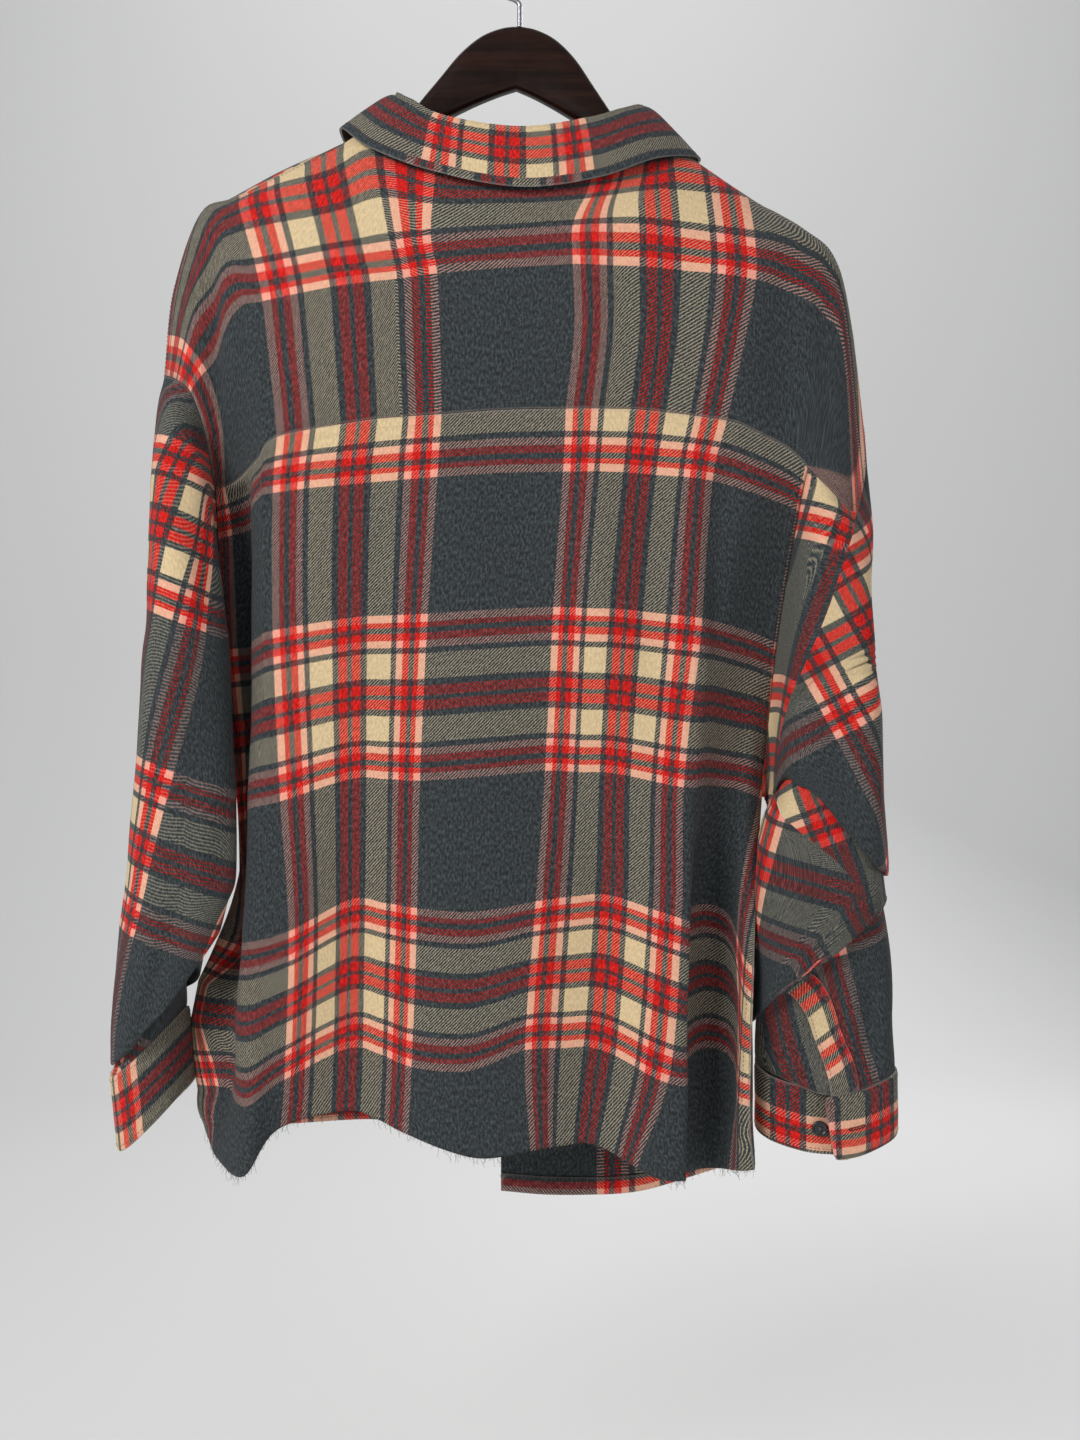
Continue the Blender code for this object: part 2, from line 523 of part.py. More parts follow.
def make_body():
    """The yoke, the back and the fronts, cut on shared seams and drawn in from them."""
    yoke = yoke_sheet()
    back = back_sheet()
    yoke_out = outward(yoke, -1)
    back_out = outward(back, -1)
    yoke_out[-1, -1] = yoke_out[-1, -2]
    joined = mitre(yoke_out[-1], back_out[0], LONG_MITRE)
    yoke_out[-1] = joined
    back_out[0] = joined
    fronts = {}
    for name, side in (("left", 1), ("right", -1)):
        sheet, under_arm = front_sheet(name, yoke, back)
        out = outward(sheet, side)
        edge = 0 if name == "left" else -1
        shared = len(sheet) - under_arm
        pit = int(PIT_ROW[name] * ROW_STEPS)
        beside = np.concatenate([back_out[pit:-1, edge], back_out[-1:, edge], back_out[-1:, edge]])
        joined = mitre(out[under_arm:, 0], beside, LONG_MITRE)
        out[under_arm:, 0] = joined
        back_out[pit:, edge] = np.concatenate([joined[:shared - 2], joined[-1:]])
        seam = corner_sample(YOKE_CORNERS[0]) + 1 if name == "left" else (
            yoke.shape[1] - corner_sample(YOKE_CORNERS[1]))
        on_yoke = slice(0, seam) if name == "left" else slice(-1, -seam - 1, -1)
        joined = mitre(yoke_out[0, on_yoke], out[0, :seam], LONG_MITRE)
        yoke_out[0, on_yoke] = joined
        out[0, :seam] = joined
        fronts[name] = (sheet, out, side)
        hole = armhole(yoke[:, edge], back[:pit + 1, edge], sheet[:under_arm + 1, 0],
                       ARMHOLE_ANCHORS[name])
        make_sleeve(name, hole, -side)
    make_collar(yoke, fronts["left"][0], fronts["right"][0])
    yoke = draw_in(yoke, SEAM_GAP, ("top", "bottom", "start", "end"))
    wall("yoke", yoke, yoke_out, WALL, "flannel", -1)
    back = draw_in(draw_in(back, SEAM_GAP, ("top",)), SIDE_GAP, ("start", "end"))
    wall("back", back, back_out, WALL, "flannel", -1)
    for name, (sheet, out, side) in fronts.items():
        sheet = draw_in(draw_in(sheet, SEAM_GAP, ("top",)), SIDE_GAP, ("start",))
        wall("front_" + name, sheet, out, WALL, "flannel", side)
        fly = slice(-STRIP_COLUMNS, None)
        wall("placket_" + name, sheet[:, fly], out[:, fly], STRIP, "flannel", side,
             lift=LAP_LIFT + STRIP)
        wall("hem_" + name, sheet[-2:, 2:], out[-2:, 2:], STRIP, "flannel_red", side,
             lift=-WALL - LAP_LIFT)


def band_sheet(path, height, steps):
    rows = [[(x, y, top - height * share) for x, y, top in path] for share in (0, 0.5, 1)]
    return loft(rows, [0, 1, 2], places([steps] * (len(path) - 1)))


def make_cuffs():
    """A closed cuff on the left; on the right an open band, its buttonhole end outermost."""
    top = ring_points(CUFF_LEFT_TOP)
    tube = np.array([top + np.array(CUFF_LEFT_DROP) * share for share in (0, 0.5, 1)])
    out = outward(tube, -1, closed=True)
    wall("cuff_left", tube, out, CUFF_WALL, "flannel", -1, closed=True)
    place, facing = tube[1, LEFT_BUTTON_COLUMN], out[1, LEFT_BUTTON_COLUMN]
    make_button("button_cuff_left", place + facing * BUTTON_STAND, facing)
    band = band_sheet(CUFF_RIGHT_PATH, CUFF_HEIGHT, 3)
    wall("cuff_right", band, outward(band, 1), CUFF_WALL, "flannel", 1)
    make_button("button_cuff_right", CUFF_BUTTON, (0, 1, 0))


def make_collar(yoke, front_left, front_right):
    """The stand rises from the neck seam; the fall turns over and down outside it."""
    left, right = (corner_sample(column) for column in YOKE_CORNERS)
    front_run = sum(FRONT_STEPS_FROM_NECK)
    neck = np.concatenate([front_left[0, ::-1][:front_run], yoke[0, left:right + 1],
                           front_right[0, -front_run:]])
    at = [0.0]
    for count, span in STAND_RUNS:
        base = at[-1]
        at += [base + span * (part + 1) / count for part in range(count)]
    fold = through(COLLAR_FOLD, at)
    rise = (fold - neck) / np.linalg.norm(fold - neck, axis=1, keepdims=True)
    foot = neck + rise * SEAM_GAP
    stand = stack([foot, (foot + fold) / 2, foot + (fold - foot) * STAND_SHARE],
                  places([1, 1]))
    wall("collar_stand", stand, outward(stand, 1), WALL, "flannel", 1)
    fold = np.array(COLLAR_FOLD, dtype=float)
    edge = np.array(FALL_EDGE, dtype=float)
    roll, half = (fold + (edge - fold) * share + np.array((0, 0, rise))
                  for share, rise in FALL_ROUNDING)
    fall = loft([fold, roll, half, edge], places([1, 1, 2]), places([2] * (len(fold) - 1)))
    wall("collar", fall, outward(fall, -1), COLLAR_WALL, "flannel", -1, lift=COLLAR_WALL + 0.5)


def make_hanger():
    """The arm's sections, mirrored and tilted about the top of the wood."""
    sides = 16
    sections = [(-d, t, u, h) for d, t, u, h in HANGER_ARM[:0:-1]] + list(HANGER_ARM)
    turn = np.array(((math.cos(HANGER_TILT), -math.sin(HANGER_TILT)),
                     (math.sin(HANGER_TILT), math.cos(HANGER_TILT))))
    pivot = np.array((0, HANGER_ARM[0][1]))
    vertices = []
    for distance, top, under, half in sections:
        for step in range(sides):
            angle = 2 * math.pi * (step + 0.5) / sides
            reach = abs(math.cos(angle)) ** 0.8 * math.copysign(half, math.cos(angle))
            rise = abs(math.sin(angle)) ** 0.8 * math.copysign((top - under) / 2,
                                                               math.sin(angle))
            x, z = turn @ (np.array((distance, (top + under) / 2 + rise)) - pivot) + pivot
            vertices.append((x, reach, z))
    faces = []
    for index in range(len(sections) - 1):
        for step in range(sides):
            beside = (step + 1) % sides
            faces.append((index * sides + step, index * sides + beside,
                          (index + 1) * sides + beside, (index + 1) * sides + step))
    faces.append(tuple(range(sides))[::-1])
    faces.append(tuple((len(sections) - 1) * sides + step for step in range(sides)))
    add_object("hanger_wood", vertices, faces, "wood")


def make_hook():
    """A bent rod whose inner top is the origin."""
    centre = HOOK_ROD / 2 - HOOK_RADIUS
    route = [(0, HANGER_ARM[0][1] + SEAM_GAP), (0, -43), (0, -36), (1.0, -32.8), (4.4, -30.4)]
    for degrees in range(-50, 201, 15):
        angle = math.radians(degrees)
        route.append((HOOK_RADIUS * math.cos(angle), centre + HOOK_RADIUS * math.sin(angle)))
    sides = 10
    route = np.array(route)
    vertices = []
    for index, (x, z) in enumerate(route):
        ahead = route[min(index + 1, len(route) - 1)] - route[max(index - 1, 0)]
        ahead = ahead / np.linalg.norm(ahead)
        for step in range(sides):
            angle = 2 * math.pi * step / sides
            swing = HOOK_ROD / 2 * math.cos(angle)
            vertices.append((x + ahead[1] * swing, HOOK_ROD / 2 * math.sin(angle),
                             z - ahead[0] * swing))
    faces = []
    for index in range(len(route) - 1):
        for step in range(sides):
            beside = (step + 1) % sides
            faces.append((index * sides + step, index * sides + beside,
                          (index + 1) * sides + beside, (index + 1) * sides + step))
    faces.append(tuple(range(sides))[::-1])
    faces.append(tuple((len(route) - 1) * sides + step for step in range(sides)))
    add_object("hanger_hook", vertices, faces, "steel")


def make_button(name, place, facing):
    """A disc with a raised rim, turned about its own axis and set to face outwards."""
    radius = BUTTON_DIAMETER / 2
    profile = ((0.0, 0.0), (radius - 0.6, 0.0), (radius, 0.8), (radius - 0.2, BUTTON_THICK),
               (radius - 1.4, BUTTON_THICK), (radius - 2.0, BUTTON_THICK - 0.8),
               (0.0, BUTTON_THICK - 0.8))
    sides = 14
    facing = np.array(facing, dtype=float)
    facing /= np.linalg.norm(facing)
    across = np.cross(facing, (0, 0, 1.0))
    across /= np.linalg.norm(across)
    up = np.cross(across, facing)
    place = np.array(place, dtype=float)
    vertices = [place]
    for reach, height in profile[1:-1]:
        for step in range(sides):
            angle = 2 * math.pi * step / sides
            vertices.append(place + reach * (math.cos(angle) * across + math.sin(angle) * up)
                            + height * facing)
    vertices.append(place + profile[-1][1] * facing)
    faces = []
    for step in range(sides):
        beside = (step + 1) % sides
        faces.append((0, 1 + step, 1 + beside))
    bands = len(profile) - 3
    for band in range(bands):
        for step in range(sides):
            beside = (step + 1) % sides
            low = 1 + band * sides
            high = low + sides
            faces.append((low + step, high + step, high + beside, low + beside))
    top = 1 + bands * sides
    for step in range(sides):
        beside = (step + 1) % sides
        faces.append((top + step, len(vertices) - 1, top + beside))
    add_object(name, vertices, faces, "button")


def make_front_buttons():
    """Down the left front's placket, evenly spaced in height."""
    across = FRONT_COLUMNS.index("edge") - 0.5
    line = [through(row, [across])[0] for row in FRONT_LEFT_ROWS.values()]
    line = through(line, places([20] * (len(line) - 1)))
    for index in range(FRONT_BUTTONS):
        height = FIRST_BUTTON - index * BUTTON_PITCH
        spot = [np.interp(-height, -line[:, 2], line[:, axis]) for axis in range(3)]
        spot[1] -= LAP_LIFT + STRIP + BUTTON_STAND
        make_button("button_front_%d" % (index + 1), spot, (0, -1, 0))


clear_scene()
make_body()
make_cuffs()
make_hanger()
make_hook()
make_front_buttons()
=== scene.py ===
# %% [markdown]
# # A flannel shirt on a wooden hanger
#
# The real shirt is nine or ten cut pieces of brushed twill, sewn together and hung up, so its
# looks come from three things: where each stripe of the check runs, how the cloth hangs from
# the hanger, and how it is sewn. This file makes the cloth as thin shells over the packed
# solids, and gives every shell its own weave coordinates, because a check that is sewn on a
# yoke doesn't meet the check below it.

import json
import math

import bpy
import numpy as np
from mathutils import Matrix, Vector, noise

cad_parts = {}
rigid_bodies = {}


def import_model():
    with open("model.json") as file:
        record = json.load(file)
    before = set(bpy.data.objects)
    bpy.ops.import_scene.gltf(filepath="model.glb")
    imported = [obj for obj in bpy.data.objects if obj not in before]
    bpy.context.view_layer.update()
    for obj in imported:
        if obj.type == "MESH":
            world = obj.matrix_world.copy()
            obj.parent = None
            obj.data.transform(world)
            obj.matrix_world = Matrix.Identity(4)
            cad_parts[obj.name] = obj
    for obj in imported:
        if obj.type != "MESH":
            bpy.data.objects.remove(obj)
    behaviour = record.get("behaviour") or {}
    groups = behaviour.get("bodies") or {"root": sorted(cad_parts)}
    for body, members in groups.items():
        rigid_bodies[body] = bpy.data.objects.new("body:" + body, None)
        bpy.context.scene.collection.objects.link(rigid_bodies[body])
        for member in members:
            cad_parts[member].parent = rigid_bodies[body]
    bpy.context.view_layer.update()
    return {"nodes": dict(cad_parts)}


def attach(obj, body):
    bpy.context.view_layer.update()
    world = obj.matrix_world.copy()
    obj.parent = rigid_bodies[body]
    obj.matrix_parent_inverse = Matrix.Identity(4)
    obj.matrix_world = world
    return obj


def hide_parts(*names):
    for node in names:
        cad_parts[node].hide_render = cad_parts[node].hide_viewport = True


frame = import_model()
nodes = frame["nodes"]

# %% [markdown]
# ## Where the cloth lies
#
# A garment that hangs is drawn as lines that run round and down it. The tables give those lines
# in millimetres, with the inner top of the hanger's hook at zero, and a smooth curve is read
# through them. That is how a pattern cutter thinks of it too: a few measured lines, and a fair
# curve between them.

# %% Sizes, in millimetres
MM = 0.001
CLOTH = 1.1             # brushed twill
BAND_CLOTH = 2.0        # cuffs and fall, with their interlining
STRIP = 1.2             # button bands, folded hems and slit bands
LAP_LIFT = 0.4          # between a strip and the cloth it lies on
SEAM_GAP = 0.25         # on each side of a seam
HEM_SHARE = 0.11        # of the last step down a front, for its folded hem
COLLAR_LIFT = 2.5       # how far the fall lies off the stand
PITCH = 3.6             # how close the points of a shell are
HOOK_ROD = 3.6
HOOK_RADIUS = 17.0      # in the middle of the wire
HANGER_TILT = math.radians(3.0)
BUTTON_STAND = 0.8      # how far a button stands off its cloth
FRONT_BUTTONS = 7
FIRST_BUTTON = -240.0
BUTTON_PITCH = 100.0
CUFF_BUTTON = (-222, 20, -875)

# %% The lines of the shirt
def points(across, out, drop):
    """Points from their places across and out, and their drops below the hook."""
    return np.transpose((across, out, drop)) * (1.0, 1.0, -1.0)


def rows_of(table):
    return {name: points(*row) for name, row in table.items()}


# The lower back. Each row is a height, each column a line down the cloth.
BACK_COLUMNS = ("side_l", "valley_l", "fold_l", "out_l", "mid_l", "neck_l", "in_l", "centre",
                "in_r", "neck_r", "mid_r", "out_r", "fold_r", "tuck_r", "recess_r", "strip_r",
                "side_r")
BACK_ROWS = rows_of({
    "seam": (
        (230, 212, 191, 176, 116, 86, 56, 12, -34, -64, -94, -151, -170, -182, -194, -204, -213),
        (-2, 8, 34, 40, 42, 43, 43, 43, 43, 43, 42, 40, 36, 32, 28, 26, 24),
        (399, 394, 382, 367, 356, 353, 351, 348, 347, 347, 348, 355, 361, 366, 371, 378, 387)),
    "chest": (
        (229, 208, 190, 179, 121, 90, 59, 14, -32, -60, -88, -141, -165, -177, -188, -198, -208),
        (-8, 0, 34, 40, 43, 43, 44, 44, 44, 43, 43, 40, 34, 29, 23, 18, 14),
        (436, 429, 412, 408, 402, 399, 397, 394, 393, 393, 394, 399, 405, 408, 411, 414, 418)),
    "blade": (
        (228, 205, 189, 179, 123, 94, 66, 21, -25, -51, -78, -133, -146, -160, -172, -184, -194),
        (-14, -5, 34, 40, 42, 42, 42, 42, 42, 42, 42, 38, 30, 18, 9, 3, 0),
        (520, 517, 512, 508, 499, 497, 496, 493, 491, 492, 493, 499, 501, 504, 507, 511, 515)),
    "pit": (
        (217, 205, 194, 173, 123, 97, 72, 27, -19, -45, -70, -120, -136, -144, -160, -173, -184),
        (-24, -6, 36, 42, 38, 39, 40, 42, 39, 37, 36, 40, 28, 12, 2, 1, -10),
        (651, 645, 637, 632, 616, 616, 617, 614, 610, 611, 612, 622, 621, 622, 624, 628, 633)),
    "waist": (
        (220, 214, 198, 169, 124, 99, 74, 30, -12, -40, -68, -118, -127, -120, -147, -163, -172),
        (-22, 4, 38, 40, 32, 33, 36, 42, 38, 34, 32, 42, 36, 12, 3, 22, 30),
        (740, 737, 735, 727, 705, 707, 710, 712, 705, 702, 702, 717, 720, 718, 714, 745, 755)),
    "hip": (
        (244, 227, 198, 173, 126, 102, 78, 35, -4, -32, -59, -108, -125, -118, -144, -156, -169),
        (-8, 12, 44, 36, 28, 29, 34, 44, 38, 32, 30, 42, 38, 13, 4, 24, 32),
        (849, 850, 853, 836, 815, 819, 826, 827, 813, 813, 815, 836, 838, 834, 822, 852, 856)),
    "hem": (
        (238, 226, 199, 176, 128, 104, 81, 32, -8, -32, -57, -99, -124, -118, -142, -158, -172),
        (-4, 14, 46, 34, 26, 28, 34, 46, 40, 34, 30, 42, 40, 15, 6, 22, 33),
        (883, 898, 903, 872, 861, 867, 876, 890, 886, 884, 885, 905, 908, 912, 912, 907, 902)),
})

# The yoke, from its front seam over the shoulders to its back seam, on the same columns. Its
# corners are where the front seam meets the neck.
YOKE_CORNERS = (BACK_COLUMNS.index("neck_l"), BACK_COLUMNS.index("neck_r"))
YOKE_ROWS = rows_of({
    "front": (
        (270, 262, 240, 211, 148, 104, 62, 2, -58, -104, -127, -176, -193, -214, -236, -250, -262),
        (-10, -4, 2, 3, 3, 2, 31, 36, 32, -1, -13, -21, -22, -23, -25, -27, -30),
        (313, 250, 192, 179, 147, 126, 157, 171, 160, 137, 152, 191, 201, 213, 234, 272, 350)),
    "crest": (
        (268, 259, 238, 209, 146, 110, 61, 3, -58, -110, -130, -177, -194, -215, -237, -249, -263),
        (-3, 4, 9, 10, 11, 13, 34, 39, 35, 10, 0, -4, -5, -5, -6, -8, -16),
        (313, 252, 196, 184, 154, 136, 165, 179, 167, 146, 150, 182, 191, 204, 222, 262, 354)),
    "ridge": (
        (262, 250, 231, 206, 143, 108, 62, 6, -50, -104, -124, -176, -195, -214, -233, -247, -262),
        (6, 14, 20, 22, 25, 28, 39, 42, 40, 27, 19, 14, 13, 12, 9, 4, -6),
        (316, 256, 208, 198, 174, 164, 187, 196, 188, 170, 166, 192, 200, 210, 226, 263, 374)),
    "stripe": (
        (255, 238, 216, 193, 129, 96, 64, 9, -39, -70, -102, -172, -195, -211, -227, -243, -258),
        (13, 24, 30, 36, 40, 42, 43, 43, 43, 43, 42, 36, 31, 26, 20, 11, 4),
        (320, 267, 242, 240, 230, 225, 221, 217, 214, 213, 214, 221, 224, 230, 238, 268, 398)),
    "shoulder": (
        (243, 223, 205, 187, 122, 90, 59, 9, -39, -70, -102, -172, -194, -210, -225, -240, -248),
        (22, 30, 34, 40, 45, 46, 47, 46, 47, 47, 46, 40, 35, 31, 26, 20, 17),
        (331, 298, 272, 268, 258, 254, 250, 246, 244, 245, 246, 253, 258, 264, 274, 300, 420)),
    "plate": (
        (234, 213, 196, 182, 119, 88, 57, 9, -40, -70, -101, -163, -184, -198, -211, -222, -231),
        (16, 26, 37, 42, 47, 48, 48, 47, 48, 48, 47, 42, 37, 33, 31, 29, 26),
        (358, 341, 318, 308, 299, 297, 295, 294, 293, 293, 294, 301, 305, 311, 320, 338, 405)),
})

# The fronts, from the side seam to the centre edge. The first row is the yoke's front seam,
# and the side column under the armhole is the back's.
FRONT_COLUMNS = ("side", "drop", "tip", "neck", "curve", "throat", "fly", "edge")
FRONT_LEFT_ROWS = rows_of({
    "seam": ((270, 246, 198, 104, 90, 64, 20, -14), (-10, -1, 3, 2, -21, -35, -42, -46),
             (313, 203, 173, 126, 144, 168, 197, 208)),
    "crest": ((271, 250, 200, 112, 94, 66, 20, -14), (-18, -13, -9, -9, -27, -39, -45, -49),
              (316, 206, 169, 131, 150, 177, 206, 216)),
    "slope": ((268, 250, 202, 122, 98, 68, 20, -14), (-30, -32, -29, -27, -37, -43, -47, -50),
              (326, 232, 192, 155, 172, 196, 224, 233)),
    "chest": ((242, 226, 190, 118, 90, 60, 20, -14), (-40, -47, -48, -45, -47, -48, -48, -48),
              (400, 386, 370, 352, 345, 342, 340, 340)),
    "blade": ((230, 210, 170, 112, 86, 56, 20, -14), (-34, -44, -37, -47, -46, -43, -46, -47),
              (520, 514, 504, 495, 493, 491, 490, 490)),
    "pit": ((217, 202, 164, 108, 82, 54, 20, -13), (-24, -38, -46, -39, -45, -41, -45, -46),
            (651, 645, 634, 620, 617, 615, 613, 613)),
    "waist": ((220, 206, 168, 110, 84, 54, 20, -13), (-22, -40, -36, -47, -44, -40, -44, -45),
              (740, 735, 722, 710, 709, 708, 707, 707)),
    "hip": ((244, 226, 178, 114, 86, 56, 20, -12), (-8, -30, -46, -36, -43, -38, -43, -44),
            (849, 845, 832, 815, 815, 815, 816, 817)),
    "hem": ((238, 222, 176, 116, 86, 56, 20, -12), (-4, -28, -44, -34, -41, -37, -42, -43),
            (883, 886, 888, 882, 888, 897, 906, 909)),
})
FRONT_RIGHT_ROWS = rows_of({
    "seam": ((-262, -226, -176, -104, -92, -58, -20, 14), (-30, -24, -21, -1, -22, -34, -39, -41),
             (350, 223, 191, 137, 149, 172, 200, 211)),
    "slope": ((-259, -230, -180, -116, -94, -62, -20, 14),
              (-37, -40, -38, -31, -37, -41, -43, -44), (366, 256, 224, 172, 182, 198, 223, 233)),
    "chest": ((-232, -206, -166, -110, -86, -60, -20, 14),
              (-45, -49, -46, -45, -46, -44, -43, -42), (426, 398, 372, 352, 346, 343, 341, 341)),
    "blade": ((-205, -186, -152, -104, -80, -56, -20, 14),
              (-36, -46, -38, -46, -45, -41, -40, -40), (520, 513, 503, 493, 491, 489, 488, 488)),
    "pit": ((-184, -180, -150, -102, -78, -54, -20, 14), (-10, -29, -43, -36, -42, -37, -39, -38),
            (633, 634, 628, 620, 617, 616, 615, 615)),
    "waist": ((-172, -174, -152, -104, -80, -56, -20, 15), (30, 2, -32, -42, -39, -35, -37, -37),
              (755, 750, 738, 724, 720, 716, 713, 712)),
    "hip": ((-169, -173, -152, -106, -80, -56, -20, 15), (32, 4, -28, -40, -36, -35, -36, -36),
            (856, 852, 846, 838, 834, 832, 829, 828)),
    "hem": ((-172, -174, -152, -106, -80, -56, -20, 15), (33, 5, -26, -38, -36, -36, -36, -36),
            (902, 904, 918, 936, 940, 941, 941, 938)),
})

# The sleeves, in stretches from one fold to the next. Each ring runs round the arm from its
# outer side by the back.
RING_COLUMNS = ("outer", "back_outer", "back", "back_inner", "inner", "front_inner", "front",
                "front_outer")
SLEEVE_RINGS = {
    "left": [rows_of({
        "cap": ((277, 257, 228, 219, 229, 224, 244, 270), (-14, 36, 36, 14, -27, -62, -72, -52),
                (345, 355, 404, 472, 618, 500, 425, 360)),
        "upper": ((282, 264, 234, 214, 229, 230, 256, 278), (-12, 46, 48, 22, -26, -68, -78, -56),
                  (440, 446, 458, 516, 632, 550, 482, 446)),
        "biceps": ((287, 268, 236, 211, 229, 232, 258, 282),
                   (-10, 47, 51, 27, -22, -66, -76, -54),
                   (530, 534, 544, 580, 656, 606, 560, 536)),
        "elbow": ((292, 273, 239, 207, 231, 236, 260, 285), (-9, 47, 52, 32, -16, -60, -72, -52),
                  (610, 613, 622, 645, 690, 660, 632, 614)),
        "forearm": ((297, 278, 243, 206, 235, 242, 264, 289),
                    (-8, 46, 52, 36, -10, -54, -66, -50),
                    (690, 690, 690, 686, 722, 712, 700, 692)),
        "bulge": ((303, 288, 250, 212, 240, 248, 270, 295), (-7, 42, 51, 37, -6, -48, -60, -46),
                  (768, 762, 742, 706, 742, 752, 760, 766)),
        "pouch": ((307, 296, 257, 220, 243, 252, 274, 299), (-6, 32, 45, 33, -5, -42, -54, -42),
                  (833, 828, 788, 733, 756, 778, 796, 824)),
    }), rows_of({
        "wrist": ((303, 295, 280, 263, 256, 264, 282, 296), (-4, 20, 27, 17, -8, -34, -43, -29),
                  (828, 826, 812, 794, 784, 794, 812, 826)),
    })],
    "right": [rows_of({
        "cap": ((-266, -258, -228, -201, -190, -206, -232, -260),
                (-12, 26, 40, 23, -24, -62, -72, -50), (410, 448, 436, 500, 642, 540, 452, 408)),
        "upper": ((-268, -257, -228, -198, -192, -208, -234, -263),
                  (-10, 38, 48, 32, -22, -66, -74, -52),
                  (500, 500, 506, 546, 654, 596, 522, 500)),
        "biceps": ((-272, -260, -230, -196, -194, -210, -238, -267),
                   (-8, 42, 52, 38, -16, -62, -70, -50),
                   (588, 586, 584, 598, 664, 640, 602, 590)),
        "flap": ((-279, -263, -236, -204, -197, -212, -242, -270),
                 (-4, 38, 47, 36, -10, -56, -64, -44), (697, 686, 656, 624, 674, 684, 694, 698)),
    }), rows_of({
        "drape": ((-274, -262, -232, -202, -197, -206, -236, -264),
                  (-4, 30, 39, 30, -4, -40, -52, -38), (692, 692, 690, 690, 708, 708, 704, 697)),
        "pouch": ((-277, -262, -233, -200, -183, -200, -234, -265),
                  (-3, 30, 42, 36, 3, -38, -50, -36), (709, 722, 745, 780, 806, 788, 752, 722)),
    }), rows_of({
        "low": ((-280, -268, -238, -208, -188, -206, -240, -270),
                (-2, 20, 27, 20, 0, -22, -28, -20), (752, 752, 760, 786, 810, 800, 768, 754)),
        "wrist": ((-280, -267, -232, -199, -186, -198, -232, -267),
                  (0, 10, 13, 10, -1, -11, -15, -11), (838, 840, 848, 844, 837, 834, 834, 836)),
    })],
}
CUFF_LEFT_TOP = points((309, 300, 282, 262, 252, 262, 283, 301),
                       (-4, 24, 32, 21, -8, -38, -48, -33),
                       (838, 836, 822, 802, 790, 802, 822, 836))
CUFF_LEFT_DROP = (-6, 0, -55)
CUFF_RIGHT_PATH = points((-238, -212, -190, -182, -190, -232, -272, -284, -277, -252, -222),
                         (17, 19, 13, -1, -14, -19, -15, -1, 15, 26, 29),
                         (848, 845, 838, 832, 830, 830, 832, 834, 838, 846, 851))
CUFF_HEIGHT = 48
TUCK_RISE = 16          # a pouch of cloth turns up this far behind its lower edge
TUCK_INSET = 7
ARMHOLE_ANCHORS = {"left": (1, 8, 12, 15, 17, 19, 21, 23),
                   "right": (3, 8, 12, 15, 18, 20, 22, 24)}
SLEEVE_STRIP = {"left": 20, "right": 7}     # the first of the strip's columns
STRIP_COLUMNS = 3
LEFT_BUTTON_COLUMN = 18

# The collar's columns run from the left front round the back to the right front: the fold along
# its top, and the lower edge of the fall.
COLLAR_FOLD = points((10, 34, 58, 78, 91, 80, 56, 0, -50, -76, -91, -79, -56, -32, -10),
                     (-46, -41, -32, -18, 2, 17, 28, 35, 28, 17, -2, -20, -31, -39, -43),
                     (178, 163, 142, 121, 107, 115, 131, 142, 133, 122, 113, 126, 147, 167, 181))
FALL_EDGE = points((56, 86, 112, 131, 134, 108, 62, 0, -58, -100, -134, -130, -112, -86, -56),
                   (-58, -52, -42, -24, 1, 30, 42, 47, 43, 31, 0, -24, -41, -49, -55),
                   (248, 212, 170, 139, 129, 155, 176, 189, 181, 163, 151, 155, 186, 222, 252))

STAND_SHARE = 0.92      # how far up to the fold the stand reaches
FALL_ROUNDING = ((0.22, 5.0), (0.6, 3.5))   # share of the way down, and the rise above it

# The wooden arm, from the middle out: distance, top, underside, half its thickness.
HANGER_ARM = ((0, -51.6, -99, 8.5), (13, -53.7, -104, 8.5), (28, -60.6, -111, 8.7),
              (43, -74.2, -119, 9), (57, -92.9, -127, 9), (71, -112, -136, 9),
              (84, -131, -149, 9), (98, -145, -161, 9.5), (120, -155, -172, 10),
              (143, -164, -182, 11), (176, -182, -201, 12), (207, -201, -218, 12),
              (226, -214, -229, 10.5), (235, -221, -229, 6))

# %% Smooth curves and sheets through the lines
def through(points, places, closed=False, corners=()):
    """Catmull-Rom curve through points, or through whole lines of them, read at places."""
    points = np.asarray(points, dtype=float)
    count = len(points)
    breaks = sorted({0, count - 1, *corners})
    read = []
    for place in places:
        whole = int(math.floor(place))
        if not closed:
            whole = min(max(whole, 0), count - 2)
        part = place - whole
        low = max(b for b in breaks if b <= whole) if not closed else 0
        high = min(b for b in breaks if b > whole) if not closed else 0
        picks = []
        for index in range(whole - 1, whole + 3):
            if closed:
                picks.append(points[index % count])
            elif index < low:
                picks.append(2 * points[low] - points[low + 1])
            elif index > high:
                picks.append(2 * points[high] - points[high - 1])
            else:
                picks.append(points[index])
        before, start, end, after = picks
        read.append(0.5 * (2 * start + (end - before) * part
                           + (2 * before - 5 * start + 4 * end - after) * part ** 2
                           + (3 * start - before - 3 * end + after) * part ** 3))
    return np.array(read)


def loft(rows, down, across, row_corners={}):
    """A sheet of points through rows of control points."""
    return through([through(row, across, corners=row_corners.get(index, ()))
                    for index, row in enumerate(rows)], down)


def spaced(rows, along=1):
    """Places along the control points, about a pitch apart in each step."""
    steps = np.linalg.norm(np.diff(np.asarray(rows, dtype=float), axis=along), axis=2)
    found = [0.0]
    for whole, length in enumerate(steps.mean(axis=1 - along)):
        parts = max(2, round(length / PITCH))
        found += [whole + (part + 1) / parts for part in range(parts)]
    return found


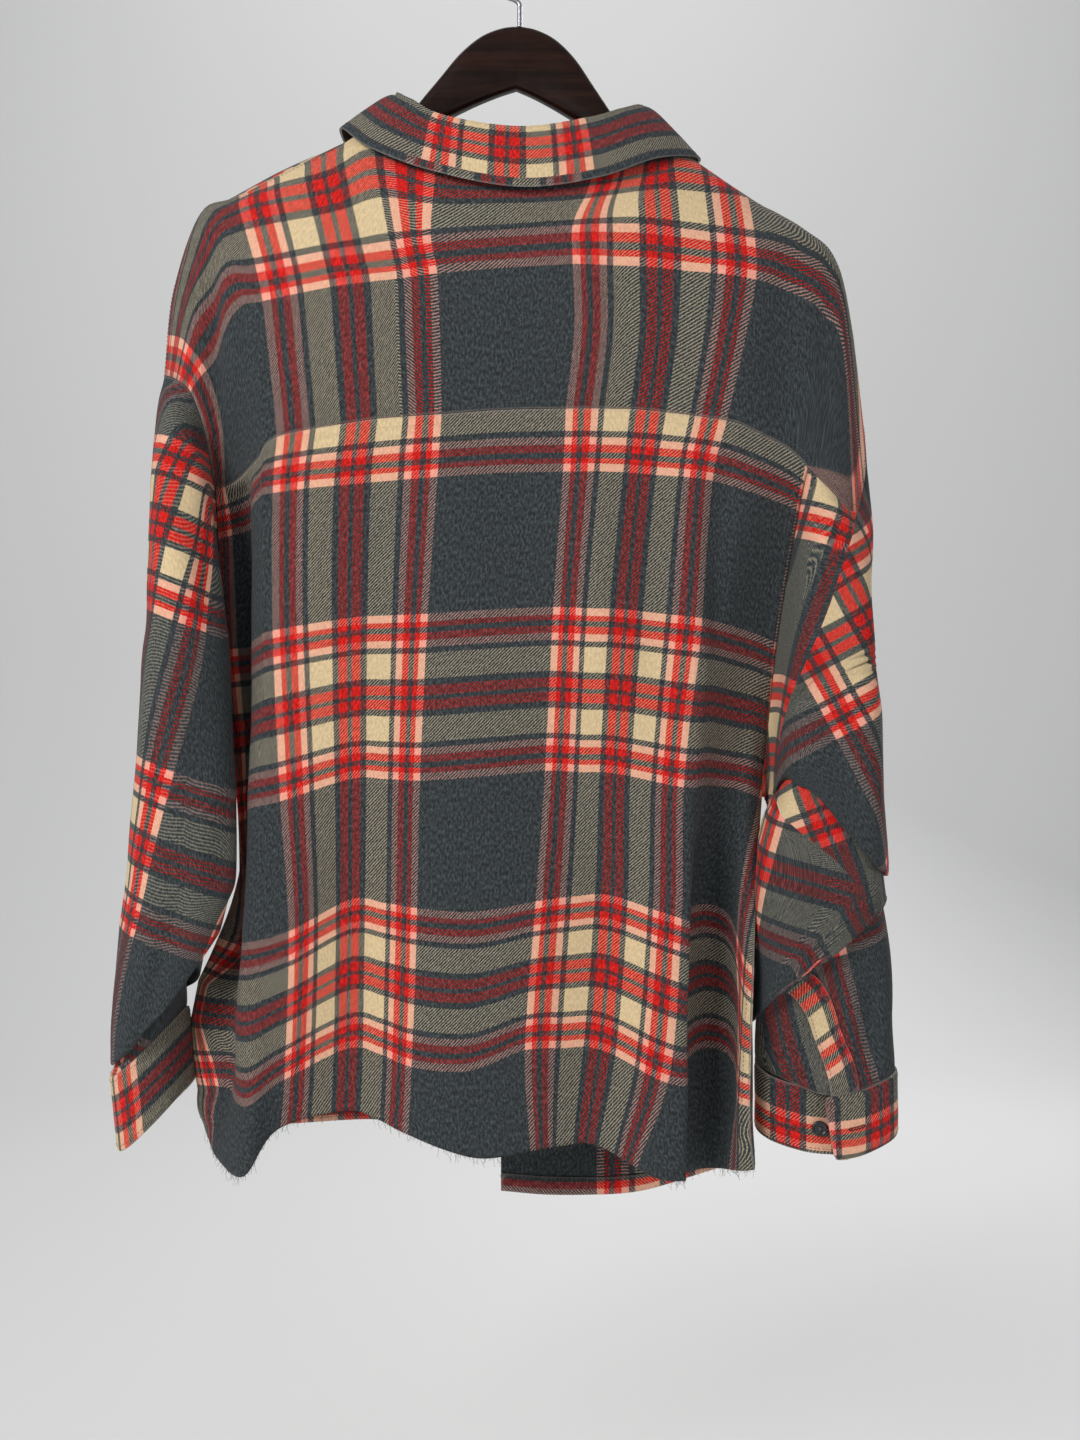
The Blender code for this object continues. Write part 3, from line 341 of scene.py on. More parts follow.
def arc(points, axis=0):
    """Distance along lines of points, from their start."""
    steps = np.linalg.norm(np.diff(points, axis=axis), axis=-1)
    start = np.zeros_like(np.take(steps, [0], axis=axis))
    return np.concatenate([start, np.cumsum(steps, axis=axis)], axis=axis)


def normals(sheet, side, closed=False):
    """Unit normals at a sheet's points, on the side that faces out."""
    if closed:
        along = np.roll(sheet, -1, axis=1) - np.roll(sheet, 1, axis=1)
    else:
        along = np.gradient(sheet, axis=1)
    cross = np.cross(along, np.gradient(sheet, axis=0)) * side
    return cross / np.maximum(np.linalg.norm(cross, axis=2, keepdims=True), 1e-9)


def looped(sheet):
    """A closed sheet, with its first column once more at its end."""
    return np.concatenate([sheet, sheet[:, :1]], axis=1)


ALL_EDGES = ("top", "bottom", "start", "end")
BUT_HEM = ("top", "start", "end")


def edge_first(grid, edge):
    """A view of a sheet's points or values, with the named edge as its first row."""
    view = grid.swapaxes(0, 1) if edge in ("start", "end") else grid
    return view[::-1] if edge in ("bottom", "end") else view


# %% [markdown]
# ## Where the stripes run
#
# The check repeats every 226 mm both ways. Each point of the cloth gets two weave coordinates,
# the distance across the warp stripes and the distance down the weft stripes, both counted from
# the middle of a stripe group. They are kept in a UV map in metres, so that one material
# can weave every piece, and a pleat or a slant bends the stripes as it does in real cloth.

# %% Weave coordinates of the back and the yoke, in millimetres
REPEAT = 226.0
BACK_WARPS = {
    "flat": (300, 250, 184, 175, 113, 82, 51, 0, -51, -82, -113, -175, -190, -215, -240, -265,
             -280),
    "tucked": (320, 262, 202, 177, 113, 82, 51, 0, -51, -82, -113, -175, -180, -205, -245, -296,
               -318),
    "hem": (320, 262, 202, 177, 113, 82, 51, 0, -51, -88, -125, -194, -200, -222, -258, -303,
            -318),
}
BACK_WEFTS = {"seam": 17, "chest": 62, "blade": 164, "pit": 288, "waist": 390, "hip": 514}
YOKE_WEFTS = {"stripe": 37, "shoulder": 62, "plate": 109, "seam": 164}
YOKE_FRONT_WEFTS = np.array((-92, -74, -40, -20, -36, -36, -28, -20, -28, -30, -24, 3, 3, 3, 0,
                             -10, -40))
SHOULDER_FROM, SHOULDER_WIDE = -50, 40      # where the right shoulder's warps turn upright


def weave_row(warps, wefts):
    return np.stack(np.broadcast_arrays(warps, wefts), axis=1)


def back_weave():
    styles = {"waist": "tucked", "hip": "tucked", "hem": "hem"}
    drop = np.linalg.norm(np.subtract(BACK_ROWS["hem"], BACK_ROWS["hip"]), axis=1)
    wefts = {**BACK_WEFTS, "hem": BACK_WEFTS["hip"] + drop}
    return [weave_row(np.array(BACK_WARPS[styles.get(name, "flat")]) + REPEAT / 2, wefts[name])
            for name in BACK_ROWS]


def yoke_weave():
    """Below the stripe row the wefts are level; above it they follow the cloth's length."""
    names = list(YOKE_ROWS)
    flat = np.array(BACK_WARPS["flat"]) + REPEAT / 2
    over = names.index("stripe")
    lines = np.array(list(YOKE_ROWS.values())[:over + 1], dtype=float)
    rows = []
    for line, share in zip(lines, arc(lines) / arc(lines)[-1]):
        upright = np.clip((SHOULDER_FROM - line[:, 0]) / SHOULDER_WIDE, 0, 1)
        rows.append(weave_row(flat + upright * (line[:, 0] - lines[over, :, 0]),
                              YOKE_FRONT_WEFTS
                              + (YOKE_WEFTS["stripe"] - YOKE_FRONT_WEFTS) * share))
    return rows + [weave_row(flat, YOKE_WEFTS[name]) for name in names[over + 1:] + ["seam"]]


# %% The yoke and the back
LEFT_HIP = ((690, 740, 772, 800, 826, 852), (0, 12, 20, 18, 10, 0))     # outwards, by the drop
HIP_FROM, HIP_WIDE = 196, 24                # where it starts, and over how much it grows


def hip_out(sheet):
    """The left side seam swings out over the hip."""
    sheet = sheet.copy()
    reach = np.clip((sheet[..., 0] - HIP_FROM) / HIP_WIDE, 0, 1)
    sheet[..., 0] += np.interp(-sheet[..., 2], *LEFT_HIP) * reach
    return sheet


PIT_ROW = {"left": 2.5, "right": 3.0}       # the armpit's place down the back's rows

yoke_rows = list(YOKE_ROWS.values()) + [BACK_ROWS["seam"]]
back_rows = list(BACK_ROWS.values())
across = spaced(back_rows)
yoke_down = spaced(yoke_rows, 0)
back_down = spaced(back_rows, 0)
yoke = loft(yoke_rows, yoke_down, across, {0: YOKE_CORNERS})
back = hip_out(loft(back_rows, back_down, across))
yoke_threads = loft(yoke_weave(), yoke_down, across)
back_threads = loft(back_weave(), back_down, across)
print("yoke", yoke.shape, "back", back.shape)


# %% [markdown]
# ## The fronts
#
# The fronts share their seams with the yoke and the back, so their edges are pulled onto those
# pieces' own points, and the pull fades out over a hand's width. Their check starts from the
# button edge, because a shirt's fronts are cut on the straight grain there.

# %% A front from its seams
FADE = 10               # points over which a seam's pull fades
FRONT_WARP_START, FRONT_WEFT_START = 134.0, -30.0


def pull_onto(seam, lines):
    """Pulls a sheet's first line onto a seam, and the next ones less and less."""
    moved = seam - lines[0]
    for step in range(FADE):
        lines[step] += moved * (1 - step / FADE)


def front_sheet(name):
    left = name == "left"
    rows = np.array(list((FRONT_LEFT_ROWS if left else FRONT_RIGHT_ROWS).values()), dtype=float)
    offset = len(rows) - len(back_rows)
    corner = across.index(YOKE_CORNERS[0 if left else 1])
    seam = yoke[0, :corner + 1] if left else yoke[0, corner:][::-1]
    neck = FRONT_COLUMNS.index("neck")
    columns = list(np.linspace(0, neck, len(seam)))
    columns += [neck + place for place in spaced(rows[:, neck:])[1:]]
    down = spaced(rows[:offset + 2], 0)[:-1]
    down += [place + offset for place in back_down if place >= 1]
    sheet = hip_out(loft(rows, down, columns, {0: (neck,), 1: (neck,)}))
    pull_onto(seam, sheet[:, :len(seam)])
    pit = next(index for index, place in enumerate(down) if place >= PIT_ROW[name] + offset)
    shared = len(down) - pit
    pull_onto(back[-shared:, 0 if left else -1], sheet[pit:].swapaxes(0, 1))
    return {"sheet": sheet, "pit": pit, "shared": shared, "down": down, "columns": columns,
            "neck": len(seam), "fly": columns.index(FRONT_COLUMNS.index("fly"))}


def front_threads(sheet, side):
    """Straight grain: warps by the distance from the button edge, wefts by the drop."""
    warps = (arc(sheet[len(sheet) // 2][::-1])[::-1] - FRONT_WARP_START) * side
    wefts = arc(sheet[:, -sheet.shape[1] // 4]) - FRONT_WEFT_START
    return np.stack(np.broadcast_arrays(warps, wefts[:, None]), axis=2)


fronts = {}
for name, side in (("left", 1), ("right", -1)):
    fronts[name] = front = front_sheet(name)
    front["side"] = side
    front["threads"] = front_threads(front["sheet"], side)
    print("front", name, front["sheet"].shape)

# %% [markdown]
# ## Sleeves
#
# A sleeve is a tube of rings. Its first ring is the edge of the armhole itself, so the seam
# always meets. Where the arm of a hanging shirt bags out, the cloth turns back up under its own
# weight: the tube has a sharp fold there, and a ring tucked in behind it.

# %% Rings down an arm
TUBE_STEPS = 14         # rows of points from one ring to the next
TUBE_SPLIT = 4          # points round for each of the solid's
FOLD_STEPS = 4          # rows of points over a sharp fold
FRONT_ANCHORS = {"left": 9, "right": 8}     # how many of them lie along the front


def armhole(name):
    """The edge that a sleeve is sewn to, and the places round the rings that meet it."""
    edge = 0 if name == "left" else -1
    front = fronts[name]
    pit = len(back) - front["shared"]
    seam = front["sheet"][:front["pit"] + 1, 0][::-1]
    run = arc(seam)
    points, at = yoke[:, edge], np.array(yoke_down) * 2
    for line, places in ((back[:pit + 1, edge], np.array(back_down[:pit + 1]) * 2),
                         (seam, run / run[-1] * FRONT_ANCHORS[name])):
        points = np.concatenate([points, line[1:]])
        at = np.concatenate([at, at[-1] + places[1:]])
    count = int(round(at[-1]))
    anchors = ARMHOLE_ANCHORS[name]
    around, spots = [], []
    for index, anchor in enumerate(anchors):
        span = (anchors[(index + 1) % len(anchors)] - anchor) % count
        for part in range(span * TUBE_SPLIT):
            around.append(index + part / (span * TUBE_SPLIT))
            spots.append((anchor + part / TUBE_SPLIT) % count)
    ring = np.array([[np.interp(spot, at, points[:, axis]) for axis in range(3)]
                     for spot in spots])
    return ring, around


def tucked(ring):
    inward = ring.mean(axis=0) - ring
    inward[:, 2] = 0
    length = np.linalg.norm(inward, axis=1, keepdims=True)
    return ring + inward / length * TUCK_INSET + np.array((0, 0, TUCK_RISE))


def sleeve_tube(name):
    """The tube, its places down the rings, and the folds between its stretches."""
    top, around = armhole(name)
    lines, folds = [top], []
    for stretch in SLEEVE_RINGS[name]:
        if len(lines) > 1:
            folds += [len(lines) - 1, len(lines)]
            lines.append(tucked(lines[-1]))
        lines += [through(ring, around, closed=True) for ring in stretch.values()]
    down = [0.0]
    for step in range(len(lines) - 1):
        parts = FOLD_STEPS if step in folds[::2] else TUBE_STEPS
        down += [step + (part + 1) / parts for part in range(parts)]
    tube = through(lines, down, corners=folds)
    if name == "right":
        tube = settled(tube, around, down)
    return joined(tube, around, down, CUFF_JOINS[name]), down, folds


# %% How the sleeves settle, and meet their cuffs
LOBE_RISE = 55.0        # how far the right sleeve's fold lifts at its inner side
LOBE_AT, LOBE_REACH = 4.6, 1.6              # where that is round the rings, and how wide
LOBE_RINGS = ((2.2, 3.9, 5.0, 5.9), (0, 1, 1, 0))       # where it grows and ends down them
RIGHT_LEAN = ((600, 622, 645, 665, 700, 760, 800, 838),  # to the body, by the drop
              (0, 11, 24, 28, 25, 14, 12, 9))
LEAN_FROM, LEAN_WIDE, LEAN_BELOW = -228, 36, 4.5        # only its inner side, below the fold
JOIN_REACH = 0.55       # the part of the last step down that widens
CUFF_JOINS = rows_of({
    "left": ((307.6, 299, 281.6, 262.6, 253.6, 263, 283, 300),
             (-4, 22.8, 30.4, 19.6, -8, -36.6, -46.4, -31.8),
             (837.6, 835.6, 821.6, 801.6, 789.8, 801.6, 821.6, 835.6)),
    "right": ((-282.6, -270, -230, -200, -178.4, -187, -232, -271.5),
              (-1, 18.5, 26.3, 15.5, -1, -12.8, -17.6, -13.6),
              (834.2, 840.3, 849.3, 841.6, 832.2, 830.2, 830.2, 832.2)),
})


def settled(tube, around, down):
    """Lifts the fold at the inner side, and leans the forearm on the body."""
    tube = tube.copy()
    near = np.clip(LOBE_REACH - abs(np.array(around) - LOBE_AT), 0, 1)
    lift = np.interp(down, *LOBE_RINGS)
    tube[..., 2] += LOBE_RISE * lift[:, None] * near
    inner_side = np.clip((tube[..., 0] - LEAN_FROM) / LEAN_WIDE, 0, 1)
    lean = np.interp(-tube[..., 2], *RIGHT_LEAN) * inner_side
    tube[..., 0] += lean * (np.array(down) > LEAN_BELOW)[:, None]
    return tube


def joined(tube, around, down, join):
    """Widens the last rows until they meet the cuff's upper edge."""
    share = np.clip((np.array(down) - down[-1] + JOIN_REACH) / JOIN_REACH, 0, 1)
    share = (share * share * (3 - 2 * share))[:, None, None]
    return tube + (through(join, around, closed=True) - tube[-1]) * share


SOFT_REACH, SOFT_ROUNDS = 3, 3


def soften(tube, rows):
    """Rounds the sheet's sharp folds by averaging a few rows on each side of them."""
    tube = tube.copy()
    for row in rows * SOFT_ROUNDS:
        for index in range(row - SOFT_REACH, row + SOFT_REACH + 1):
            if 0 < index < len(tube) - 1:
                tube[index] = (tube[index - 1] + 2 * tube[index] + tube[index + 1]) / 4
    return tube


# %% [markdown]
# The left sleeve's seam is on its inner side, and its grain leans a little from the arm's line.
# So its rings start again at that seam, and each stretch gets its own origin and direction of
# the weft.

# %% The left sleeve's weave coordinates
LEFT_SLEEVE_WEAVE = {"height": -430, "slant": 20, "outer": 288, "lean": 0.21}


def left_sleeve_threads(tube, down, folds):
    """Warps by the distance round from the outer line, wefts level on a slanted plane."""
    weave = LEFT_SLEEVE_WEAVE
    slant = math.radians(weave["slant"])
    inner = RING_COLUMNS.index("inner")
    seam = next(index for index, place in enumerate(armhole("left")[1]) if place >= inner)
    rolled = np.roll(tube, -seam, axis=1)
    loop = looped(rolled)
    round_way = arc(loop, axis=1)
    outer = (0 - seam) % tube.shape[1]
    warps = weave["outer"] - (round_way - round_way[:, [outer]])
    warps += (loop[:, [outer], 2] - weave["height"]) * weave["lean"]
    fall = (weave["height"] - loop[..., 2]) * math.cos(slant)
    wefts = fall + (loop[..., 0] - loop[..., 0].mean()) * math.sin(slant)
    first = down.index(folds[0])
    wefts[first:] = wefts[first] + arc(loop[first:])
    return rolled, np.stack([warps, wefts], axis=2)


# %% The right sleeve's seam and stretches
UPPER_SEAM = ((-282.6, -330), (-245.5, -432), (-203, -549), (-170, -640))
FOREARM_SEAM = ((-190, -640), (-247, -690), (-247, -699), (-201, -748), (-186, -768),
                (-186, -900))
# Each stretch: a point, its warp and weft there, the weft's direction seen from behind, and
# which way the warps count.
RIGHT_STRETCHES = {
    "inner": ((-223.2, -443.1), 20.5, 62.0, (-0.938, -0.347), -1),
    "outer": ((-208.4, -527.7), -52.0, 0.0, (-0.882, 0.472), 1),
    "elbow": ((-244.0, -700.7), 124.0, 0.0, (-0.963, -0.271), 1),
    "wrist": ((-245.5, -761.6), 62.0, 80.0, (-0.963, 0.268), 1),
}
MITRE = ((-244.7, -699.2), (0.669, -0.743))
RIGHT_CUT = 5.4         # the place round the rings of the second, hidden cut
INNER_SHARE = 0.36      # of the columns, between the seam and the cut
CUT_WIDTH = 0.3
SEAM_ROUNDS = 6         # how often the seam's line is smoothed


def seam_places(tube, around, down, folds):
    """The place of the twisted seam on each ring, where the ring crosses it at the back."""
    inner = RING_COLUMNS.index("inner")
    found = []
    for ring, place in zip(tube, down):
        upper = place < (folds[0] + folds[1]) / 2
        path = np.array(UPPER_SEAM if upper else FOREARM_SEAM, dtype=float)
        off = ring[:, 0] - np.interp(-ring[:, 2], -path[:, 1], path[:, 0])
        best = inner
        for index in range(around.index(inner)):
            if off[index] <= 0 < off[index + 1]:
                part = off[index] / (off[index] - off[index + 1])
                best = around[index] + part * (around[index + 1] - around[index])
                if upper:
                    break
        found.append(best)
    found = np.array(found, dtype=float)
    for _ in range(SEAM_ROUNDS):
        found[1:-1] = (found[:-2] + 2 * found[1:-1] + found[2:]) / 4
    return found


def recut(ring, around, start, cut, columns):
    """One ring's points from the seam round to the cut, and from there back to the seam."""
    loop = np.concatenate([ring, ring[:1]])
    spots = np.append(around, len(RING_COLUMNS))
    run = arc(loop)
    level = arc(loop[:, :2])
    whole = run[-1]
    first = np.interp(start, spots, run)
    turn = (np.interp(cut, spots, run) - first) % whole
    inner = round(columns * INNER_SHARE)
    reads = np.concatenate([np.linspace(0, turn, inner + 1),
                            turn + CUT_WIDTH + np.linspace(0, whole - turn - CUT_WIDTH,
                                                           columns - inner)[:-1]])
    at = (first + reads) % whole
    points = np.stack([np.interp(at, run, loop[:, axis]) for axis in range(3)], axis=1)
    passed = np.interp(at, run, level)
    passed[inner + 1:] -= np.where(at[inner + 1:] > first, level[-1], 0)
    return points, passed, np.interp(start, spots, level), inner


def stretch_threads(name, place_x, place_z):
    (x, z), warp, weft, (run_x, run_z), turn = RIGHT_STRETCHES[name]
    across = (place_x - x) * run_x + (place_z - z) * run_z
    fall = abs(run_x) * (z - place_z) - (place_x - x) * run_z
    return warp + turn * across, weft + fall


def mirror_over(place_x, place_z):
    """Points mirrored over the seam at the elbow, whose two sides have mirrored grain."""
    (x, z), (run_x, run_z) = MITRE
    along = (place_x - x) * run_x + (place_z - z) * run_z
    foot_x, foot_z = x + along * run_x, z + along * run_z
    return 2 * foot_x - place_x, 2 * foot_z - place_z


def right_sleeve_threads(tube, down, folds):
    """Weave coordinates by stretch, on each side of the seam and below each fold."""
    around = armhole("right")[1]
    rings, grid = [], []
    anchors = [around.index(RING_COLUMNS.index(column)) for column in ("back_inner", "back")]
    for ring, start, place in zip(tube, seam_places(tube, around, down, folds), down):
        points, passed, at_seam, inner = recut(ring, around, start, RIGHT_CUT, len(around))
        level = arc(ring[:, :2])
        shifts = [ring[anchor, 0] - level[anchor] for anchor in anchors]
        inner_way = (shifts[0] + passed[:inner + 1], points[:inner + 1, 2])
        outer_way = (shifts[1] + np.append(passed[inner + 1:], at_seam),
                     np.append(points[inner + 1:, 2], points[0, 2]))
        if place < (folds[0] + folds[1]) / 2:
            names = ("inner", "outer")
        elif place < (folds[2] + folds[3]) / 2:
            names = ("elbow", "elbow")
            outer_way = mirror_over(*outer_way)
        else:
            names = ("wrist", "wrist")
        rings.append(points)
        grid.append(np.concatenate([np.stack(stretch_threads(name, *way), axis=1)
                                    for name, way in zip(names, (inner_way, outer_way))]))
    return np.array(rings), np.array(grid)


# %% [markdown]
# ## Creases
#
# Cloth that hangs has long soft folds and short nicks at its seams, none of them alike. Each
# row below is one crease: where it starts and ends, as places across and drops
# below the hook, how wide it is and how deep. A trough is negative. Its ends are shallower.
# A slow wave of a millimetre or so is added everywhere, because brushed cotton is never flat.

# %% Main creases, in millimetres
CREASES = {
    "back": (
        (209, 352, 214, 640, 8, -8.0), (193, 356, 202, 700, 6, 2.5),
        (150, 370, 146, 520, 16, 2.2), (98, 366, 92, 600, 20, -2.4),
        (44, 380, 40, 560, 22, 1.8), (-8, 372, -14, 650, 24, -2.0),
        (-52, 372, -60, 560, 14, 2.6), (-92, 366, -104, 640, 16, -3.2),
        (-128, 366, -128, 560, 10, 3.0), (-150, 380, -142, 520, 9, -4.0),
        (160, 640, 166, 880, 14, 2.6), (118, 600, 112, 880, 18, -2.6),
        (60, 640, 70, 900, 16, 2.4), (26, 700, 30, 900, 12, -2.2),
        (-20, 680, -10, 900, 16, 2.4), (-60, 640, -70, 900, 15, -2.6),
        (-96, 660, -98, 910, 10, 2.2), (-150, 760, -148, 880, 8, -2.2),
        (230, 790, 236, 880, 9, 2.2), (212, 700, 206, 880, 10, -2.4),
        (-146, 640, -142, 990, 15, -13.0), (226, 650, 228, 872, 13, -20.0),
    ),
    "yoke": (
        (196, 230, 176, 368, 18, -2.2), (140, 215, 120, 350, 22, 1.6),
        (60, 235, 50, 345, 24, -1.4), (-40, 230, -44, 345, 24, 1.3),
        (-110, 235, -116, 345, 18, -1.6), (-150, 220, -160, 350, 16, 1.8),
        (-196, 235, -200, 372, 14, -2.4), (-228, 262, -224, 390, 10, -3.0),
        (228, 262, 214, 380, 12, -2.6), (229, 225, 228, 402, 9, -9.0),
    ),
    "front": (
        (160, 300, 168, 620, 20, -2.4), (96, 330, 92, 700, 22, 2.2),
        (60, 380, 56, 860, 16, -1.8), (190, 560, 200, 860, 16, 2.4),
        (130, 640, 138, 880, 18, -2.4), (-92, 330, -90, 720, 22, -2.2),
        (-150, 330, -140, 640, 18, 2.4), (-60, 400, -58, 880, 16, 1.8),
        (-130, 640, -128, 900, 18, -2.4), (210, 360, 176, 440, 14, -2.6),
        (-206, 380, -170, 450, 14, -2.6),
    ),
    "sleeve_left": (
        (226, 400, 222, 520, 9, -3.4), (262, 372, 244, 470, 10, 2.4),
        (284, 420, 292, 640, 7, -2.6), (250, 520, 240, 700, 12, 2.4),
        (268, 600, 282, 800, 12, -2.6), (222, 600, 232, 720, 9, 2.8),
        (296, 700, 300, 820, 7, 2.0), (240, 690, 276, 800, 9, -3.0),
        (262, 730, 290, 826, 7, 2.6), (254, 440, 280, 520, 12, -2.0),
    ),
    "sleeve_right": (
        (-214, 470, -200, 600, 9, 2.6), (-232, 450, -236, 640, 12, -2.6),
        (-252, 480, -262, 680, 9, 2.4), (-262, 440, -266, 560, 6, -2.4),
        (-206, 540, -246, 660, 10, -2.4), (-224, 640, -262, 690, 8, 2.4),
        (-206, 700, -258, 716, 9, -2.8), (-196, 740, -240, 722, 8, 3.0),
        (-192, 780, -226, 748, 7, -3.0), (-202, 660, -204, 760, 9, 2.4),
        (-262, 760, -258, 838, 7, -3.0), (-244, 770, -246, 838, 6, 2.6),
        (-274, 770, -270, 838, 5, 2.2), (-214, 790, -216, 840, 6, -2.2),
        (-230, 800, -232, 842, 5, 1.8),
    ),
}
WAVE = {"size": 70.0, "height": 1.1}
RIPPLE = {"size": 22.0, "height": 0.35}
CREASE_END = 0.25       # how deep a crease's ends are, against its middle
END_PARTS = 5           # each end is one of so many parts of its length


def creased(sheet, facing, name):
    """A sheet moved along its normals by its creases and the slow waves."""
    shift = np.zeros(sheet.shape[:2])
    for x0, drop0, x1, drop1, width, depth in CREASES.get(name, ()):
        start, run = np.array((x0, -drop0)), np.array((x1 - x0, drop0 - drop1))
        away = sheet[..., (0, 2)] - start
        part = np.clip(away @ run / (run @ run), 0, 1)
        off = np.linalg.norm(away - part[..., None] * run, axis=2)
        full = np.clip(np.minimum(part, 1 - part) * END_PARTS, 0, 1)
        shift += depth * np.exp(-(off / width) ** 2) * (CREASE_END + (1 - CREASE_END) * full)
    for row in range(sheet.shape[0]):
        for column in range(sheet.shape[1]):
            spot = Vector(sheet[row, column])
            shift[row, column] += WAVE["height"] * noise.noise(spot / WAVE["size"])
            shift[row, column] += RIPPLE["height"] * noise.noise(spot / RIPPLE["size"])
    return sheet + facing * shift[..., None]


def held_edges(before, after, edges, reach=4):
    """Fades a sheet's movement out towards the edges that are sewn to a neighbour."""
    weight = np.ones(before.shape[:2])
    for edge in edges:
        view = edge_first(weight, edge)
        view *= np.clip(np.arange(len(view)) / reach, 0, 1)[:, None]
    return before + (after - before) * weight[..., None]


# %% [markdown]
# ## A piece of cloth
#
# A thin shell is the sheet, a second sheet one cloth's thickness inside it, and a strip that
# joins their edges. It could be a Solidify modifier, but sharp pleats make that cross itself,
# and here the weave coordinates and the distance from the nearest edge go on at the same time.
# The material uses that distance for the raised seam and the puckers beside it.

# %% A shell with its weave
sheets = {}


def add_object(name, data):
    made = bpy.data.objects.new(name, data)
    bpy.context.collection.objects.link(made)
    return made


def cloth(name, sheet, facing, threads, material, thick=CLOTH, closed=False, lift=0.0, flip=False,
          sewn=ALL_EDGES):
    """Makes the shell, and keeps its outer sheet for what is sewn on it."""
    rows, columns = sheet.shape[:2]
    outer = sheet + facing * lift
    sheets[name] = (outer, facing)
    points = np.concatenate([outer, outer - facing * thick]).reshape(-1, 3) * MM
    size = rows * columns
    wide = threads.shape[1]
    row, column = np.indices((rows - 1, columns if closed else columns - 1)).reshape(2, -1, 1)
    row, column = row + (0, 0, 1, 1), column + (0, 1, 1, 0)
    corners, spots = row * columns + column % columns, row * wide + column
    faces = [corners, (corners + size)[:, ::-1]]
    weave = [spots, spots[:, ::-1]]

    def rim(line):
        """The strip along an edge, whose points are given as rows and columns."""
        row, column = np.array(line).T
        here, at = row * columns + column % columns, row * wide + column
        faces.append(np.stack([here[1:], here[:-1], here[:-1] + size, here[1:] + size], axis=-1))
        weave.append(np.stack([at[1:], at[:-1], at[:-1], at[1:]], axis=-1))

    last = columns if closed else columns - 1
    top = [(0, index) for index in range(last + 1)]
    bottom = [(rows - 1, index) for index in range(last, -1, -1)]
    if closed:
        rim(top)
        rim(bottom)
    else:
        rim(top + [(index, last) for index in range(1, rows - 1)] + bottom
            + [(index, 0) for index in range(rows - 2, -1, -1)])
    faces, weave = np.concatenate(faces), np.concatenate(weave)
    if flip:
        faces, weave = faces[:, ::-1], weave[:, ::-1]
    mesh = bpy.data.meshes.new(name)
    mesh.from_pydata(points.tolist(), [], faces.tolist())
    for layer, values in (("weave", threads), ("yarn", yarn_places(outer, closed, flip))):
        uv = values.reshape(-1, 2) * MM
        mesh.uv_layers.new(name=layer).data.foreach_set("uv", uv[weave.reshape(-1)].reshape(-1))
    edge = edge_distance(outer, sewn).reshape(-1) * MM
    mesh.attributes.new("edge", "FLOAT", "POINT").data.foreach_set("value", np.tile(edge, 2))
    mesh.materials.append(material)
    mesh.shade_smooth()
    print(f"{name}: {len(faces) * 2} triangles, {face_area(outer, closed):.4f} m2 of cloth")
    return add_object(name, mesh)


def yarn_places(sheet, closed, flip):
    """True distances over the cloth, so that its yarns are the same everywhere."""
    loop = looped(sheet) if closed else sheet
    along = arc(loop, axis=1)
    along = (along - along[:, [loop.shape[1] // 2]]) * (1 if flip else -1)
    return np.stack([along, arc(loop)], axis=2)


EDGE_REACH = 40.0


def edge_distance(sheet, sewn):
    """How far each point is from the nearest sewn edge, up to a limit."""
    far = np.full(sheet.shape[:2], EDGE_REACH)
    for edge in sewn:
        view = edge_first(far, edge)
        np.minimum(view, arc(edge_first(sheet, edge)), out=view)
    return far


def face_area(sheet, closed):
    sheet = looped(sheet) if closed else sheet
    across_way = sheet[:-1, 1:] - sheet[:-1, :-1]
    down_way = sheet[1:, :-1] - sheet[:-1, :-1]
    return float(np.linalg.norm(np.cross(across_way, down_way), axis=2).sum()) * MM * MM

# %% [markdown]
# ## Brushed twill
#
# In a twill each yarn goes over two and under two, one step further on each row, which draws
# fine diagonals. Where the warp and weft have one colour the cloth is solid, and elsewhere
# it mixes both in those diagonals. The brushing then lifts fibres of both colours over it, and
# so the edges of the stripes are soft. The stripes are one colour ramp, read twice.

# %% Helpers for node trees
def new_group(name, inputs, outputs, kind="ShaderNodeTree"):
    """An empty node group with named sockets, and what comes in at its input node."""
    tree = bpy.data.node_groups.new(name, kind)
    for in_out, sockets in (("INPUT", inputs), ("OUTPUT", outputs)):
        for label, sort, *value in sockets:
            socket = tree.interface.new_socket(label, in_out=in_out,
                                               socket_type="NodeSocket" + sort)
            if value:
                socket.default_value = value[0]
    return tree, tree.nodes.new("NodeGroupInput").outputs


def fill(tree, node, sockets):
    """Gives a node's sockets their values or links, by name or by number."""
    for label, value in dict(sockets).items():
        if isinstance(value, bpy.types.NodeSocket):
            tree.links.new(value, node.inputs[label])
        else:
            node.inputs[label].default_value = value


def add_node(tree, kind, sockets=(), **settings):
    node = tree.nodes.new(kind)
    for key, value in settings.items():
        setattr(node, key, value)
    fill(tree, node, sockets)
    return node


def tree_of(*values):
    """The tree of the first of these values that is a socket."""
    return next(value.id_data for value in values if isinstance(value, bpy.types.NodeSocket))


def calc(operation, *values, clamp=False):
    return add_node(tree_of(*values), "ShaderNodeMath", enumerate(values), operation=operation,
                    use_clamp=clamp).outputs[0]


def scaled(vector, by):
    return add_node(vector.id_data, "ShaderNodeVectorMath", {0: vector, "Scale": by},
                    operation="SCALE").outputs[0]


def stretched(vector, by):
    return add_node(vector.id_data, "ShaderNodeVectorMath", {0: vector, 1: by},
                    operation="MULTIPLY").outputs[0]


def mix_colour(share, first, second, blend="MIX"):
    return add_node(tree_of(share, first, second), "ShaderNodeMix",
                    {0: share, 6: first, 7: second}, data_type="RGBA",
                    blend_type=blend).outputs[2]


